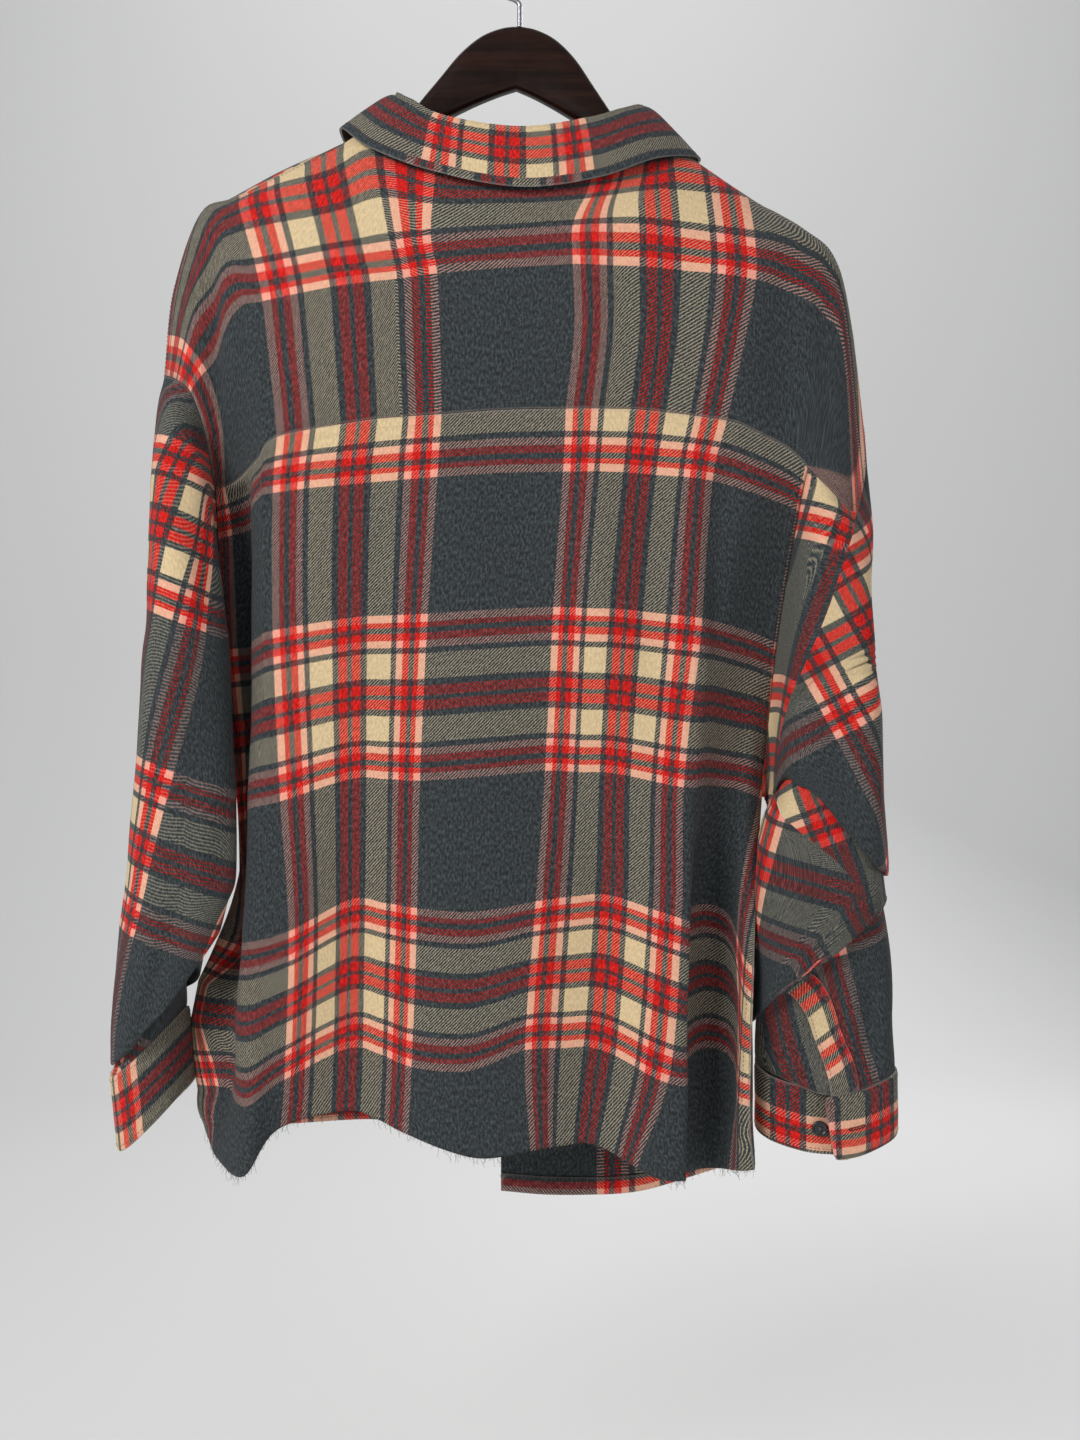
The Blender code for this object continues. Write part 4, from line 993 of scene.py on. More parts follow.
def noise_node(vector, scale, detail=2.0, roughness=0.5, output="Fac"):
    return add_node(vector.id_data, "ShaderNodeTexNoise",
                    {"Vector": vector, "Scale": scale, "Detail": detail,
                     "Roughness": roughness}).outputs[output]


def brightness(colour):
    return add_node(colour.id_data, "ShaderNodeRGBToBW", {0: colour}).outputs[0]


def span(value, low, high, to_low=0.0, to_high=1.0, smooth=False):
    return add_node(value.id_data, "ShaderNodeMapRange",
                    {"Value": value, "From Min": low, "From Max": high, "To Min": to_low,
                     "To Max": to_high},
                    interpolation_type="SMOOTHSTEP" if smooth else "LINEAR").outputs["Result"]


# %% The stripes, from the middle of a group outwards
YARNS = {
    "charcoal": (0.040, 0.047, 0.050, 1),
    "red": (0.62, 0.013, 0.010, 1),
    "pink": (0.90, 0.38, 0.28, 1),
    "cream": (0.72, 0.55, 0.32, 1),
}
SETT = (("charcoal", 1.8), ("red", 8.9), ("charcoal", 14.0), ("cream", 32.9),
        ("charcoal", 37.3), ("pink", 42.5), ("red", 48.0), ("charcoal", 52.4), ("red", 56.3),
        ("pink", 62.0), ("charcoal", REPEAT / 2))
SOFT_EDGE = 0.45        # millimetres over which one stripe turns to the next
YARN = 0.65             # yarn pitch
DRIFT = 0.9 * MM        # how far the fibres carry a stripe's colour


def stripe_ramp(distance):
    """The colour of a yarn, from its distance to the middle of the nearest stripe group."""
    node = add_node(distance.id_data, "ShaderNodeValToRGB", {0: distance})
    stops = node.color_ramp.elements
    for index in (0, -1):
        stops[index].color = YARNS[SETT[index][0]]
        stops[index].position = -index
    for (colour, end), (following, _) in zip(SETT[:-1], SETT[1:]):
        for place, name in ((end - SOFT_EDGE / 2, colour), (end + SOFT_EDGE / 2, following)):
            stops.new(place / (REPEAT / 2)).color = YARNS[name]
    return node.outputs["Color"]


# %% The weave of two sets of yarns
DIAGONAL = 4 * YARN * MM        # the twill's repeat, along warp and weft together
NAP = 2600.0                    # fibres to a metre


def make_plaid():
    """Yarn colours where warp and weft cross: they mix as filters do, the darker one more."""
    tree, inputs = new_group(
        "plaid_twill",
        (("Weave", "Vector"), ("Yarn", "Vector"), ("Twill", "Float", 0.3),
         ("Heather", "Float", 0.5)),
        (("Color", "Color"), ("Height", "Float")))
    yarn = inputs["Yarn"]
    drift = noise_node(yarn, 900.0, 1.0, output="Color")
    loose = add_node(tree, "ShaderNodeVectorMath",
                     {0: drift, 1: (DRIFT, DRIFT, 0.0), 2: inputs["Weave"]},
                     operation="MULTIPLY_ADD").outputs[0]
    split = add_node(tree, "ShaderNodeSeparateXYZ", {0: loose}).outputs
    half = REPEAT / 2 * MM
    colours = []
    for axis in (0, 1):
        away = calc("PINGPONG", calc("SUBTRACT", split[axis], DRIFT / 2), half)
        colours.append(stripe_ramp(calc("DIVIDE", away, half)))
    tones = [brightness(colour) for colour in colours]

    straight = add_node(tree, "ShaderNodeSeparateXYZ", {0: yarn}).outputs
    turns = calc("DIVIDE", calc("ADD", straight[0], straight[1]), DIAGONAL)
    wobble = noise_node(yarn, 500.0, 1.0)
    turns = calc("ADD", turns, calc("MULTIPLY", wobble, 0.6))
    diagonal = calc("PINGPONG", turns, 0.5)
    swing = span(diagonal, 0.0, 0.5, -1.0, 1.0)
    fibre = noise_node(yarn, NAP, 3.0, 0.7)
    nap = span(fibre, 0.3, 0.7, -0.3, 0.3)
    swing = calc("MULTIPLY", swing, inputs["Twill"])
    darker = span(calc("SUBTRACT", tones[1], tones[0]), -0.15, 0.15, 0.24, 0.76)
    share = calc("ADD", calc("ADD", swing, nap), darker, clamp=True)
    parts = [add_node(tree, "ShaderNodeGamma", {0: colour, 1: power}).outputs[0]
             for colour, power in zip(colours, (share, calc("SUBTRACT", 1.0, share)))]
    woven = mix_colour(1.0, parts[0], parts[1], "MULTIPLY")

    flecks = noise_node(stretched(yarn, (1.0, 0.5, 1.0)), 620.0, 2.0, 0.6)
    light = span(flecks, 0.34, 0.66, -1.0, 1.0)
    dark = span(brightness(woven), 0.05, 0.25, 1.0, 0.2)
    amount = calc("MULTIPLY", light, calc("MULTIPLY", dark, inputs["Heather"]))
    heathered = scaled(woven, calc("POWER", 2.0, amount))
    ridge = calc("ABSOLUTE", calc("SUBTRACT", diagonal, 0.25))
    height = calc("ADD", calc("MULTIPLY", ridge, 2.0), calc("MULTIPLY", fibre, 0.9))
    add_node(tree, "NodeGroupOutput", {"Color": heathered, "Height": height})
    return tree


def make_seam_relief():
    """The raised allowance beside a sewn edge, its puckers, and the slow rumple of the cloth."""
    tree, inputs = new_group(
        "seam_relief",
        (("Edge", "Float", 0.04), ("Weave", "Vector"), ("Allowance", "Float", 0.007)),
        (("Height", "Float"), ("Wear", "Float")))
    edge, weave = inputs["Edge"], inputs["Weave"]
    inside = calc("SUBTRACT", edge, inputs["Allowance"])
    raised = span(inside, -0.0006, 0.0008, 1.0, 0.0, smooth=True)
    near = span(edge, 0.0, 0.026, 1.0, 0.0, smooth=True)
    puckers = calc("MULTIPLY", noise_node(weave, 120.0), near)
    height = calc("ADD", calc("MULTIPLY", raised, 0.6), calc("MULTIPLY", puckers, 1.3))
    rumple = calc("MULTIPLY", noise_node(weave, 38.0, 3.0), 0.8)
    add_node(tree, "NodeGroupOutput", {"Height": calc("ADD", height, rumple),
                                       "Wear": span(edge, 0.0, 0.0016, 1.0, 0.0)})
    return tree


plaid = make_plaid()
seam_relief = make_seam_relief()
print("stripes:", len(SETT), "repeat:", REPEAT, "mm")


# %% [markdown]
# The cloth's own finish is dull with a faint sheen where the raised fibres catch the light from
# the side, which the shader's sheen gives. The twill and the nap are far finer than the mesh, so
# they are bump, and so are the doubled seam and its puckers.

# %% The cloth's materials
WORN = (0.55, 0.5, 0.45, 1)     # a rubbed edge
HEATHER = 0.9                   # how strong the flecks of the other colour are


def new_material(name):
    made = bpy.data.materials.new(name)
    made.use_nodes = True
    return made, made.node_tree, made.node_tree.nodes["Principled BSDF"]


def bump(height, strength, distance, **sockets):
    return add_node(height.id_data, "ShaderNodeBump",
                    {"Strength": strength, "Distance": distance, "Height": height,
                     **sockets}).outputs["Normal"]


def flannel(name, twill=0.7, allowance=7.0):
    made, tree, shader = new_material(name)
    weave, yarn = (add_node(tree, "ShaderNodeUVMap", uv_map=layer).outputs["UV"]
                   for layer in ("weave", "yarn"))
    edge = add_node(tree, "ShaderNodeAttribute", attribute_name="edge").outputs["Fac"]
    woven = add_node(tree, "ShaderNodeGroup", {"Weave": weave, "Yarn": yarn, "Twill": twill,
                                               "Heather": HEATHER}, node_tree=plaid).outputs
    relief = add_node(tree, "ShaderNodeGroup", {"Weave": yarn, "Edge": edge,
                                                "Allowance": allowance * MM},
                      node_tree=seam_relief).outputs
    worn = calc("MULTIPLY", relief["Wear"], 0.25)
    seams = bump(relief["Height"], 0.55, 0.0012)
    fill(tree, shader, {
        "Base Color": mix_colour(worn, woven["Color"], WORN),
        "Normal": bump(woven["Height"], 0.5, 0.00025, Normal=seams),
        "Roughness": 0.95, "Specular IOR Level": 0.12, "Sheen Weight": 0.06,
        "Sheen Roughness": 0.6})
    return made


flannel_body = flannel("flannel_body")
flannel_sleeve = flannel("flannel_sleeve", twill=0.4)
flannel_band = flannel("flannel_band", allowance=6.0)
flannel_strip = flannel("flannel_strip", allowance=3.0)

# %% [markdown]
# ## The body
#
# The yoke, back and fronts are now creased and made into cloth. Their seams are held still, so
# the creases run up to a seam and stop there, as they do where the cloth is doubled.

# %% The yoke and the back in cloth
def panel(name, sheet, threads, side, edges, crease, material=flannel_body, **settings):
    closed = settings.get("closed", False)
    moved = held_edges(sheet, creased(sheet, normals(sheet, side, closed), crease), edges)
    return cloth(name, moved, normals(moved, side, closed), threads, material, flip=side < 0,
                 **settings)


def drawn_in(sheet, edges):
    """Leaves half a seam's gap at the edges that meet a neighbour."""
    sheet = sheet.copy()
    for edge in edges:
        view = edge_first(sheet, edge)
        run = view[1] - view[0]
        length = np.maximum(np.linalg.norm(run, axis=1, keepdims=True), 0.5)
        view[0] += SEAM_GAP * run / length
    return sheet


panel("yoke_cloth", drawn_in(yoke, ALL_EDGES), yoke_threads, -1, ALL_EDGES, "yoke")
panel("back_cloth", drawn_in(back, BUT_HEM), back_threads, -1, BUT_HEM, "back", sewn=BUT_HEM)

# %% The fronts in cloth
for name, front in fronts.items():
    panel("front_%s_cloth" % name, drawn_in(front["sheet"], ("top", "start")), front["threads"],
          front["side"], BUT_HEM, "front", sewn=("top", "start"))


# %% The sleeves in cloth
def nearest(ring, point):
    return int(np.argmin(np.linalg.norm(ring - point, axis=1)))


sleeves = {}
for name, side, weave_sleeve in (("left", -1, left_sleeve_threads),
                                 ("right", 1, right_sleeve_threads)):
    tube, down, folds = sleeve_tube(name)
    fold_rows = [down.index(fold) for fold in folds]
    slit = TUBE_SPLIT * SLEEVE_STRIP[name]
    slit_ends = tube[-1, [slit, slit + TUBE_SPLIT * (STRIP_COLUMNS - 1)]]
    tube, threads = weave_sleeve(tube, down, folds)
    sleeves[name] = {"wrist": fold_rows[-1],
                     "slit": [nearest(tube[-1], end) for end in slit_ends]}
    tube = drawn_in(soften(tube, fold_rows[::2]), ("top",))
    panel("sleeve_%s_cloth" % name, tube, threads, side, ("top", "bottom"), "sleeve_" + name,
          flannel_sleeve, closed=True, sewn=("top", "bottom"))
    print("slit band columns", name, sleeves[name]["slit"])

# %% [markdown]
# ## Bands, cuffs and collar
#
# The button bands, the hems and the sleeve slits are strips of the same cloth laid on the
# panels, so each one is cut out of the panel's own points and lifted off it. The cuffs and the
# collar have an interlining, so they are thicker, keep their shape, and get rounded folds.

# %% Strips that lie on a panel
def strip_on(kind, name, rows, columns, threads, lift):
    """A strip of cloth cut out of a front's points and lifted off them."""
    sheet, facing = sheets["front_%s_cloth" % name]
    cloth("%s_%s_cloth" % (kind, name), sheet[rows, columns], facing[rows, columns],
          threads[rows, columns], flannel_strip, STRIP, lift=lift,
          flip=fronts[name]["side"] < 0)


PLACKET_WARPS = 41      # how far the band's check is from the front's
HEM_WEFT = 38.0         # the weft at the hem's lower edge
HEM_START = 6           # the front's first column that is turned up

for name, front in fronts.items():
    rows, columns = front["sheet"].shape[:2]
    strip_on("placket", name, slice(0, rows), slice(front["fly"], columns),
             front["threads"] + (PLACKET_WARPS, 0), LAP_LIFT + STRIP)
    low = next(index for index, place in enumerate(front["down"])
               if place >= front["down"][-1] - HEM_SHARE)
    turned_up = front["threads"].copy()
    turned_up[..., 1] = HEM_WEFT + arc(front["sheet"])[-1] - arc(front["sheet"])
    strip_on("hem", name, slice(low - 1, rows), slice(HEM_START, columns), turned_up,
             -CLOTH - LAP_LIFT)

# %% The sleeves' slit bands
SLIT_LEAN = {"left": 0, "right": 11}        # how many points the band's top is further round
SLIT_WEAVE = {"left": (0.0, -760.0), "right": (6.0, -770.8)}


def band_threads(sheet, across_start, down_start, closed=False):
    """Straight weave coordinates over a band, by the distance along it and down it."""
    loop = looped(sheet) if closed else sheet
    return np.stack([across_start + arc(loop, axis=1), down_start + arc(loop)], axis=2)


for name, side in (("left", -1), ("right", 1)):
    first, last = sorted(sleeves[name]["slit"])
    whole, whole_facing = sheets["sleeve_%s_cloth" % name]
    top = sleeves[name]["wrist"] + TUBE_STEPS // 2
    sheet, facing = [], []
    for row in range(top, len(whole)):
        left = (len(whole) - 1 - row) / (len(whole) - 1 - top)
        reads = np.arange(first, last + 1) + SLIT_LEAN[name] * left
        sheet.append(through(whole[row], reads))
        facing.append(through(whole_facing[row], reads))
    sheet, facing = np.array(sheet), np.array(facing)
    warp, weft_height = SLIT_WEAVE[name]
    grid = band_threads(sheet, warp, weft_height - sheet[0, 0, 2])
    cloth("sleeve_placket_%s_cloth" % name, sheet, facing, grid, flannel_strip, thick=STRIP,
          lift=LAP_LIFT + STRIP, flip=side < 0)


# %% Cuffs
TURNED_ROWS = 3         # rows of points in a turned edge
TURNED_IN = 0.7


def rounded_ends(sheet, facing, inset):
    """Draws a band's first and last rows in, as a turned edge is."""
    sheet = sheet.copy()
    for step in range(TURNED_ROWS):
        sink = inset * (1 - math.sin(math.pi / 2 * step / TURNED_ROWS))
        sheet[step] -= facing[step] * sink
        sheet[-1 - step] -= facing[-1 - step] * sink
    return sheet


CUFF_ROWS = (0, 0.02, 0.05, 0.12, 0.25, 0.4, 0.55, 0.7, 0.82, 0.92, 0.96, 0.985, 1)
CUFF_WEAVE = {"left": (6.0, -28.0), "right": (-39.6, -83.0)}
LAP_REACH = 2           # steps of the path that the lap's shape takes
LAP_BACK, LAP_SLANT, LAP_CORNER = 0.07, 0.26, 0.16     # of a step of the path
CORNER_DEEP = 0.12      # of the band's depth
LAP_SHIFT = 40.0
SHIFT_FROM, SHIFT_OVER = 90, 100        # millimetres along the band
INNER_SWELL = (3.5, 5, 3.5)             # how far its inner side stands out
cuff_around = np.linspace(0, len(RING_COLUMNS), 97)[:-1]
cuff_top = through(CUFF_LEFT_TOP, cuff_around, closed=True)
left_cuff = np.array([cuff_top + np.array(CUFF_LEFT_DROP) * share for share in CUFF_ROWS])
facing = normals(left_cuff, -1, closed=True)
left_cuff = rounded_ends(creased(left_cuff, facing, "cuff_left"), facing, TURNED_IN)
cloth("cuff_left_cloth", left_cuff, facing,
      band_threads(left_cuff, *CUFF_WEAVE["left"], closed=True), flannel_band,
      thick=BAND_CLOTH, closed=True, flip=True, sewn=("top", "bottom"))

band_places = spaced([CUFF_RIGHT_PATH, CUFF_RIGHT_PATH])
band_path = CUFF_RIGHT_PATH.copy()
band_path[2:5, 0] += INNER_SWELL
band_top = through(band_path, band_places)
near_end = np.clip((np.array(band_places) - band_places[-1] + LAP_REACH) / LAP_REACH, 0, 1)
right_cuff = []
for share in CUFF_ROWS:
    corner = max(abs(share - 0.5) - (0.5 - CORNER_DEEP), 0) / CORNER_DEEP
    back_by = LAP_BACK + LAP_SLANT * share + LAP_CORNER * (1 - math.sqrt(1 - corner ** 2))
    line = through(band_path, np.array(band_places) - back_by * near_end)
    right_cuff.append(line - (0, 0, CUFF_HEIGHT * share))
right_cuff = np.array(right_cuff)
facing = normals(right_cuff, 1)
right_cuff = rounded_ends(creased(right_cuff, facing, "cuff_right"), facing, TURNED_IN)
grid = band_threads(right_cuff, *CUFF_WEAVE["right"])
grid[..., 0] += LAP_SHIFT * np.clip((arc(band_top) - SHIFT_FROM) / SHIFT_OVER, 0, 1)
cloth("cuff_right_cloth", right_cuff, facing, grid, flannel_band, thick=BAND_CLOTH)

# %% The collar's stand
STAND_ROWS = np.linspace(0, STAND_SHARE, 9)
COLLAR_MIDDLE = 7                       # of the collar's columns
YOKE_ON_COLLAR = (4, 6, 7, 8, 10)       # the collar's columns over the yoke's
STAND_WEAVE = (9, 100)                  # the weave's place at the middle of its foot
yoke_neck = [across.index(corner) for corner in YOKE_CORNERS]
yoke_run = slice(yoke_neck[0], yoke_neck[1] + 1)
left, right = fronts["left"], fronts["right"]
neck_seam = np.concatenate([left["sheet"][0, left["neck"]:][::-1], yoke[0, yoke_run],
                            right["sheet"][0, right["neck"]:]])
collar_at = np.concatenate([
    COLLAR_MIDDLE - np.array(left["columns"][left["neck"]:])[::-1],
    np.interp(across[yoke_run], YOKE_CORNERS[0] + np.arange(5), YOKE_ON_COLLAR),
    COLLAR_MIDDLE + np.array(right["columns"][right["neck"]:])])
fold_line = through(COLLAR_FOLD, collar_at)
rise = fold_line - neck_seam
foot = neck_seam + rise / np.linalg.norm(rise, axis=1, keepdims=True) * SEAM_GAP
stand = np.array([foot + (fold_line - foot) * share for share in STAND_ROWS])
middle = int(np.argmin(abs(collar_at - COLLAR_MIDDLE)))
grid = band_threads(stand, 0, STAND_WEAVE[1])
grid[..., 0] -= grid[:, [middle], 0] - STAND_WEAVE[0]
cloth("collar_stand_cloth", stand, normals(stand, 1), grid, flannel_band)

# %% The collar's fall, rolled over at its top and turned at its edge
UNDER_COLLAR = 7.0      # how much of the facing has rolled out at the edge
UNDER_STEPS = np.array((0, 1.6, 3.2, 4.8, 6.0, 6.7, UNDER_COLLAR))
UNDER_FIRST = 0.25      # its first row is just past the fall's last one
UNDER_WEFT, UNDER_SHIFT = 70.0, 9.5     # its weave is another piece's
FALL_WEFTS = (-19.5, 25.0)
FALL_STEPS = 15
FALL_CENTRE = -8.6      # the x where the middle warp runs
SMOOTH_ROWS = 40
ROLL_STEPS = 5
ROLL_STEP = 0.8         # millimetres of weft between the roll's rows
ROLL_HIGH = 0.6         # its height against its depth
FOLD_HOLD = 8           # rows below the fold without their full creases
FALL_TURNED_IN = 0.6


def fall_sheet():
    """The smooth fall, read again in even steps with its edge's facing in close ones."""
    roll, half = (COLLAR_FOLD + (FALL_EDGE - COLLAR_FOLD) * share + (0, 0, rise)
                  for share, rise in FALL_ROUNDING)
    rows = [COLLAR_FOLD, roll, half, FALL_EDGE]
    smooth = loft(rows, np.linspace(0, 3, SMOOTH_ROWS), spaced(rows))
    smooth = smooth + normals(smooth, -1) * COLLAR_LIFT
    run = arc(smooth)
    start = run[-1] - UNDER_COLLAR
    shares = np.linspace(0, 1, FALL_STEPS)
    reads = [start * share for share in shares]
    reads += [start + max(step, UNDER_FIRST) for step in UNDER_STEPS]
    sheet = np.array([[[np.interp(read[column], run[:, column], smooth[:, column, axis])
                        for axis in range(3)] for column in range(smooth.shape[1])]
                      for read in reads])
    wefts = FALL_WEFTS[0] + (FALL_WEFTS[1] - FALL_WEFTS[0]) * shares
    return sheet, np.concatenate([wefts, UNDER_WEFT + UNDER_STEPS])


fall, wefts = fall_sheet()
top, top_facing = fall[0], normals(fall, -1)[0]
rolled = []
for step in range(ROLL_STEPS, 0, -1):
    angle = math.pi * step / (ROLL_STEPS + 1)
    rolled.append(top - top_facing * COLLAR_LIFT * (1 - math.cos(angle)) / 2
                  + np.array((0, 0, COLLAR_LIFT * ROLL_HIGH * math.sin(angle))))
fall = np.concatenate([rolled, fall])
facing = normals(fall, -1)
wefts = np.concatenate([wefts[0] - np.arange(ROLL_STEPS, 0, -1) * ROLL_STEP, wefts])
half_way = ROLL_STEPS + FALL_STEPS // 2 + 1
across_fall = arc(fall[half_way])
across_fall -= np.interp(FALL_CENTRE, -fall[half_way, :, 0], across_fall)
grid = np.stack(np.broadcast_arrays(across_fall, wefts[:, None]), axis=2).copy()
grid[-len(UNDER_STEPS):, :, 0] += UNDER_SHIFT
fall = held_edges(fall, creased(fall, facing, "collar"), ("top",), reach=FOLD_HOLD)
fall = rounded_ends(fall, facing, FALL_TURNED_IN)
cloth("collar_cloth", fall, normals(fall, -1), grid, flannel_band, thick=BAND_CLOTH, flip=True)

# %% [markdown]
# ## Buttons, wood and hook
#
# A shirt button is a turned disc with a raised rim and four holes, sewn on with a cross of
# thread that also holds it a little off the cloth. Here it is a turned profile, and each hole
# is a small plug in its dished face, coloured near black as painted shade for the hole's depth.

# %% Grain and wear
WOOD_TONES = ((0.008, 0.0025, 0.0012, 1), (0.028, 0.009, 0.0045, 1))
PORE_TONE = (0.005, 0.002, 0.001, 1)


def make_grain():
    """Long fibres and slow bands along a piece's own X, for wood under varnish."""
    tree, inputs = new_group("wood_grain", (("Place", "Vector"), ("Tight", "Float", 1.0)),
                             (("Color", "Color"), ("Height", "Float")))
    place = scaled(stretched(inputs["Place"], (9.0, 160.0, 160.0)), inputs["Tight"])
    tone = span(noise_node(place, 1.0, 3.0, 0.6), 0.35, 0.7)
    dark = span(noise_node(place, 6.0, 2.0, 0.6), 0.52, 0.7)
    colour = mix_colour(calc("MULTIPLY", dark, 0.5), mix_colour(tone, *WOOD_TONES), PORE_TONE)
    height = calc("SUBTRACT", calc("MULTIPLY", tone, 0.4), calc("MULTIPLY", dark, 0.6))
    add_node(tree, "NodeGroupOutput", {"Color": colour, "Height": height})
    return tree


def make_scuffs():
    """Fine rubbed marks and dust for hard things, as a roughness and a height."""
    tree, inputs = new_group(
        "handled", (("Place", "Vector"), ("Smooth", "Float", 0.2), ("Rough", "Float", 0.45),
                    ("Size", "Float", 200.0)),
        (("Roughness", "Float"), ("Height", "Float")))
    marks = noise_node(scaled(inputs["Place"], inputs["Size"]), 1.0, 4.0, 0.65)
    share = span(marks, 0.35, 0.7)
    rough = add_node(tree, "ShaderNodeMix", {0: share, 2: inputs["Smooth"], 3: inputs["Rough"]},
                     data_type="FLOAT").outputs[0]
    add_node(tree, "NodeGroupOutput", {"Roughness": rough, "Height": share})
    return tree


wood_grain = make_grain()
handled = make_scuffs()


# %% Materials for the hard parts
def hard_material(name, colour, smooth, rough, size, relief, **finish):
    """A hard finish. Without a colour of its own it has the wood's grain."""
    made, tree, shader = new_material(name)
    place = add_node(tree, "ShaderNodeTexCoord").outputs["Object"]
    marks = add_node(tree, "ShaderNodeGroup", {"Place": place, "Smooth": smooth, "Rough": rough,
                                               "Size": size}, node_tree=handled).outputs
    height = marks["Height"]
    if colour:
        tint = mix_colour(height, colour, tuple(v * 1.5 for v in colour[:3]) + (1,))
    else:
        fibres = add_node(tree, "ShaderNodeGroup", {"Place": place}, node_tree=wood_grain).outputs
        tint = fibres["Color"]
        height = calc("ADD", calc("MULTIPLY", height, 0.3), fibres["Height"])
    fill(tree, shader, {
        "Base Color": tint, "Roughness": marks["Roughness"],
        "Normal": bump(height, relief, 0.0003), "Metallic": finish.get("metallic", 0.0),
        "Coat Weight": finish.get("coat", 0.0), "Coat Roughness": 0.1,
        "Specular IOR Level": finish.get("shine", 0.5)})
    return made


varnished_wood = hard_material("varnished_wood", None, 0.3, 0.5, 60, 0.25, coat=0.22, shine=0.12)
steel = hard_material("steel", (0.33, 0.33, 0.35, 1), 0.22, 0.36, 90, 0.03, metallic=1.0)
resin = hard_material("resin", (0.014, 0.014, 0.017, 1), 0.22, 0.42, 500, 0.2, coat=0.2)
# The holes' plugs are near black: painted shade standing in for the depth of each hole.
hole_shade = hard_material("button_hole", (0.003, 0.003, 0.003, 1), 0.7, 0.9, 500, 0.1)


def fibre_material(name, colour, dark):
    """A twisted sewing thread or a loose yarn."""
    made, tree, shader = new_material(name)
    place = add_node(tree, "ShaderNodeTexCoord").outputs["Object"]
    tone = span(noise_node(place, 900.0), 0.35, 0.65)
    fill(tree, shader, {
        "Base Color": mix_colour(tone, dark, colour), "Roughness": 0.75,
        "Normal": bump(noise_node(place, 4000.0, 1.0), 0.4, 0.0001)})
    return made


grey_thread = fibre_material("grey_thread", (0.13, 0.13, 0.13, 1), (0.05, 0.05, 0.052, 1))
hole_thread = fibre_material("hole_thread", (0.03, 0.03, 0.032, 1), (0.01, 0.01, 0.011, 1))
loose_yarn = fibre_material("loose_yarn", (0.09, 0.095, 0.1, 1), (0.02, 0.022, 0.025, 1))


# %% A skin through rings of points
def circle(count, start=0.0):
    """The cosine and sine of evenly spaced angles, from a start in steps."""
    angles = (np.arange(count) + start) * 2 * math.pi / count
    return np.stack([np.cos(angles), np.sin(angles)], axis=1)


def skin(first, rings, count):
    """Faces between rings of so many points each, numbered on from a first one."""
    grid = first + np.arange(rings * count).reshape(rings, count)
    beside = np.roll(grid, -1, axis=1)
    return np.stack([grid[:-1], beside[:-1], beside[1:], grid[1:]],
                    axis=-1).reshape(-1, 4).tolist()


def solid(name, points, faces, materials, looks=None):
    mesh = bpy.data.meshes.new(name)
    mesh.from_pydata((np.array(points) * MM).tolist(), [], faces)
    for material in materials:
        mesh.materials.append(material)
    if looks:
        mesh.polygons.foreach_set("material_index", looks)
    mesh.shade_smooth()
    return add_object(name, mesh)


def sweep_rings(name, rings, material):
    """A skin through rings of points, with its ends closed."""
    count = len(rings[0])
    faces = skin(0, len(rings), count) + [tuple(range(count))[::-1]]
    faces.append(tuple((len(rings) - 1) * count + step for step in range(count)))
    return solid(name, np.concatenate(rings), faces, [material])


# %% The hanger's arm
WOOD_SIDES = 48
WOOD_BEVEL = 0.62       # nearer 1 is rounder
WOOD_STEPS = 76         # sections from the middle to the tip
THINNEST, THICKEST = 4, 12.2
TIP = 2.2               # how far the rounded tip reaches
TIP_STEPS = (0.35, 0.65, 0.85, 0.96)


def arm_section(distance, top, under, half):
    """A section with flat faces and eased edges, tilted as the hanger hangs."""
    eased = np.abs(circle(WOOD_SIDES, 0.5)) ** WOOD_BEVEL * np.sign(circle(WOOD_SIDES, 0.5))
    pivot = Vector((0, HANGER_ARM[0][1]))
    ring = []
    for y, z in eased * (half, (top - under) / 2):
        moved = turn @ (Vector((distance, (top + under) / 2 + z)) - pivot) + pivot
        ring.append((moved.x, y, moved.y))
    return ring


turn = Matrix.Rotation(HANGER_TILT, 2)
half_arm = through(HANGER_ARM, np.linspace(0, len(HANGER_ARM) - 1, WOOD_STEPS))
half_arm[:, 3] = np.clip(half_arm[:, 3], THINNEST, THICKEST)
out, top, under, half = half_arm[-1]
ends = []
for step in TIP_STEPS:
    shrink = math.sqrt(1 - step ** 2)
    middle, reach = (top + under) / 2, (top - under) / 2 * shrink
    ends.append((out + TIP * step, middle + reach, middle - reach, half * shrink))
half_arm = np.concatenate([half_arm, ends])
sections = np.concatenate([half_arm[:0:-1] * (-1, 1, 1, 1), half_arm])
wood_piece = sweep_rings("hanger_wood_arm", [arm_section(*section) for section in sections],
                         varnished_wood)
print("hanger arm:", len(sections), "sections of", WOOD_SIDES)

# %% The hook
HOOK_SIDES = 16
HOOK_BEND = range(-50, 201, 10)     # degrees, from the shank to the free end
HOOK_SHANK = ((0, HANGER_ARM[0][1] + 0.1), (0, -48), (0, -43), (0, -38), (0, -35.2),
              (1.0, -32.8), (4.4, -30.4))
ROUNDED = 6             # points over which the free end is rounded

centre = HOOK_ROD / 2 - HOOK_RADIUS
bend = np.radians(HOOK_BEND)
route = np.concatenate([HOOK_SHANK, np.stack([HOOK_RADIUS * np.cos(bend),
                                              centre + HOOK_RADIUS * np.sin(bend)], axis=1)])
route = through(route, np.linspace(0, len(route) - 1, 4 * len(route)))
rings = []
for index, (x, z) in enumerate(route):
    ahead = route[min(index + 1, len(route) - 1)] - route[max(index - 1, 0)]
    ahead = ahead / np.linalg.norm(ahead)
    left = min(1, (len(route) - 1 - index) / ROUNDED)
    radius = HOOK_ROD / 2 * math.sqrt(max(0.05, 1 - (1 - left) ** 2))
    rings.append([(x + ahead[1] * c, s, z - ahead[0] * c)
                  for c, s in circle(HOOK_SIDES) * radius])
hook_piece = sweep_rings("hanger_hook_rod", rings, steel)


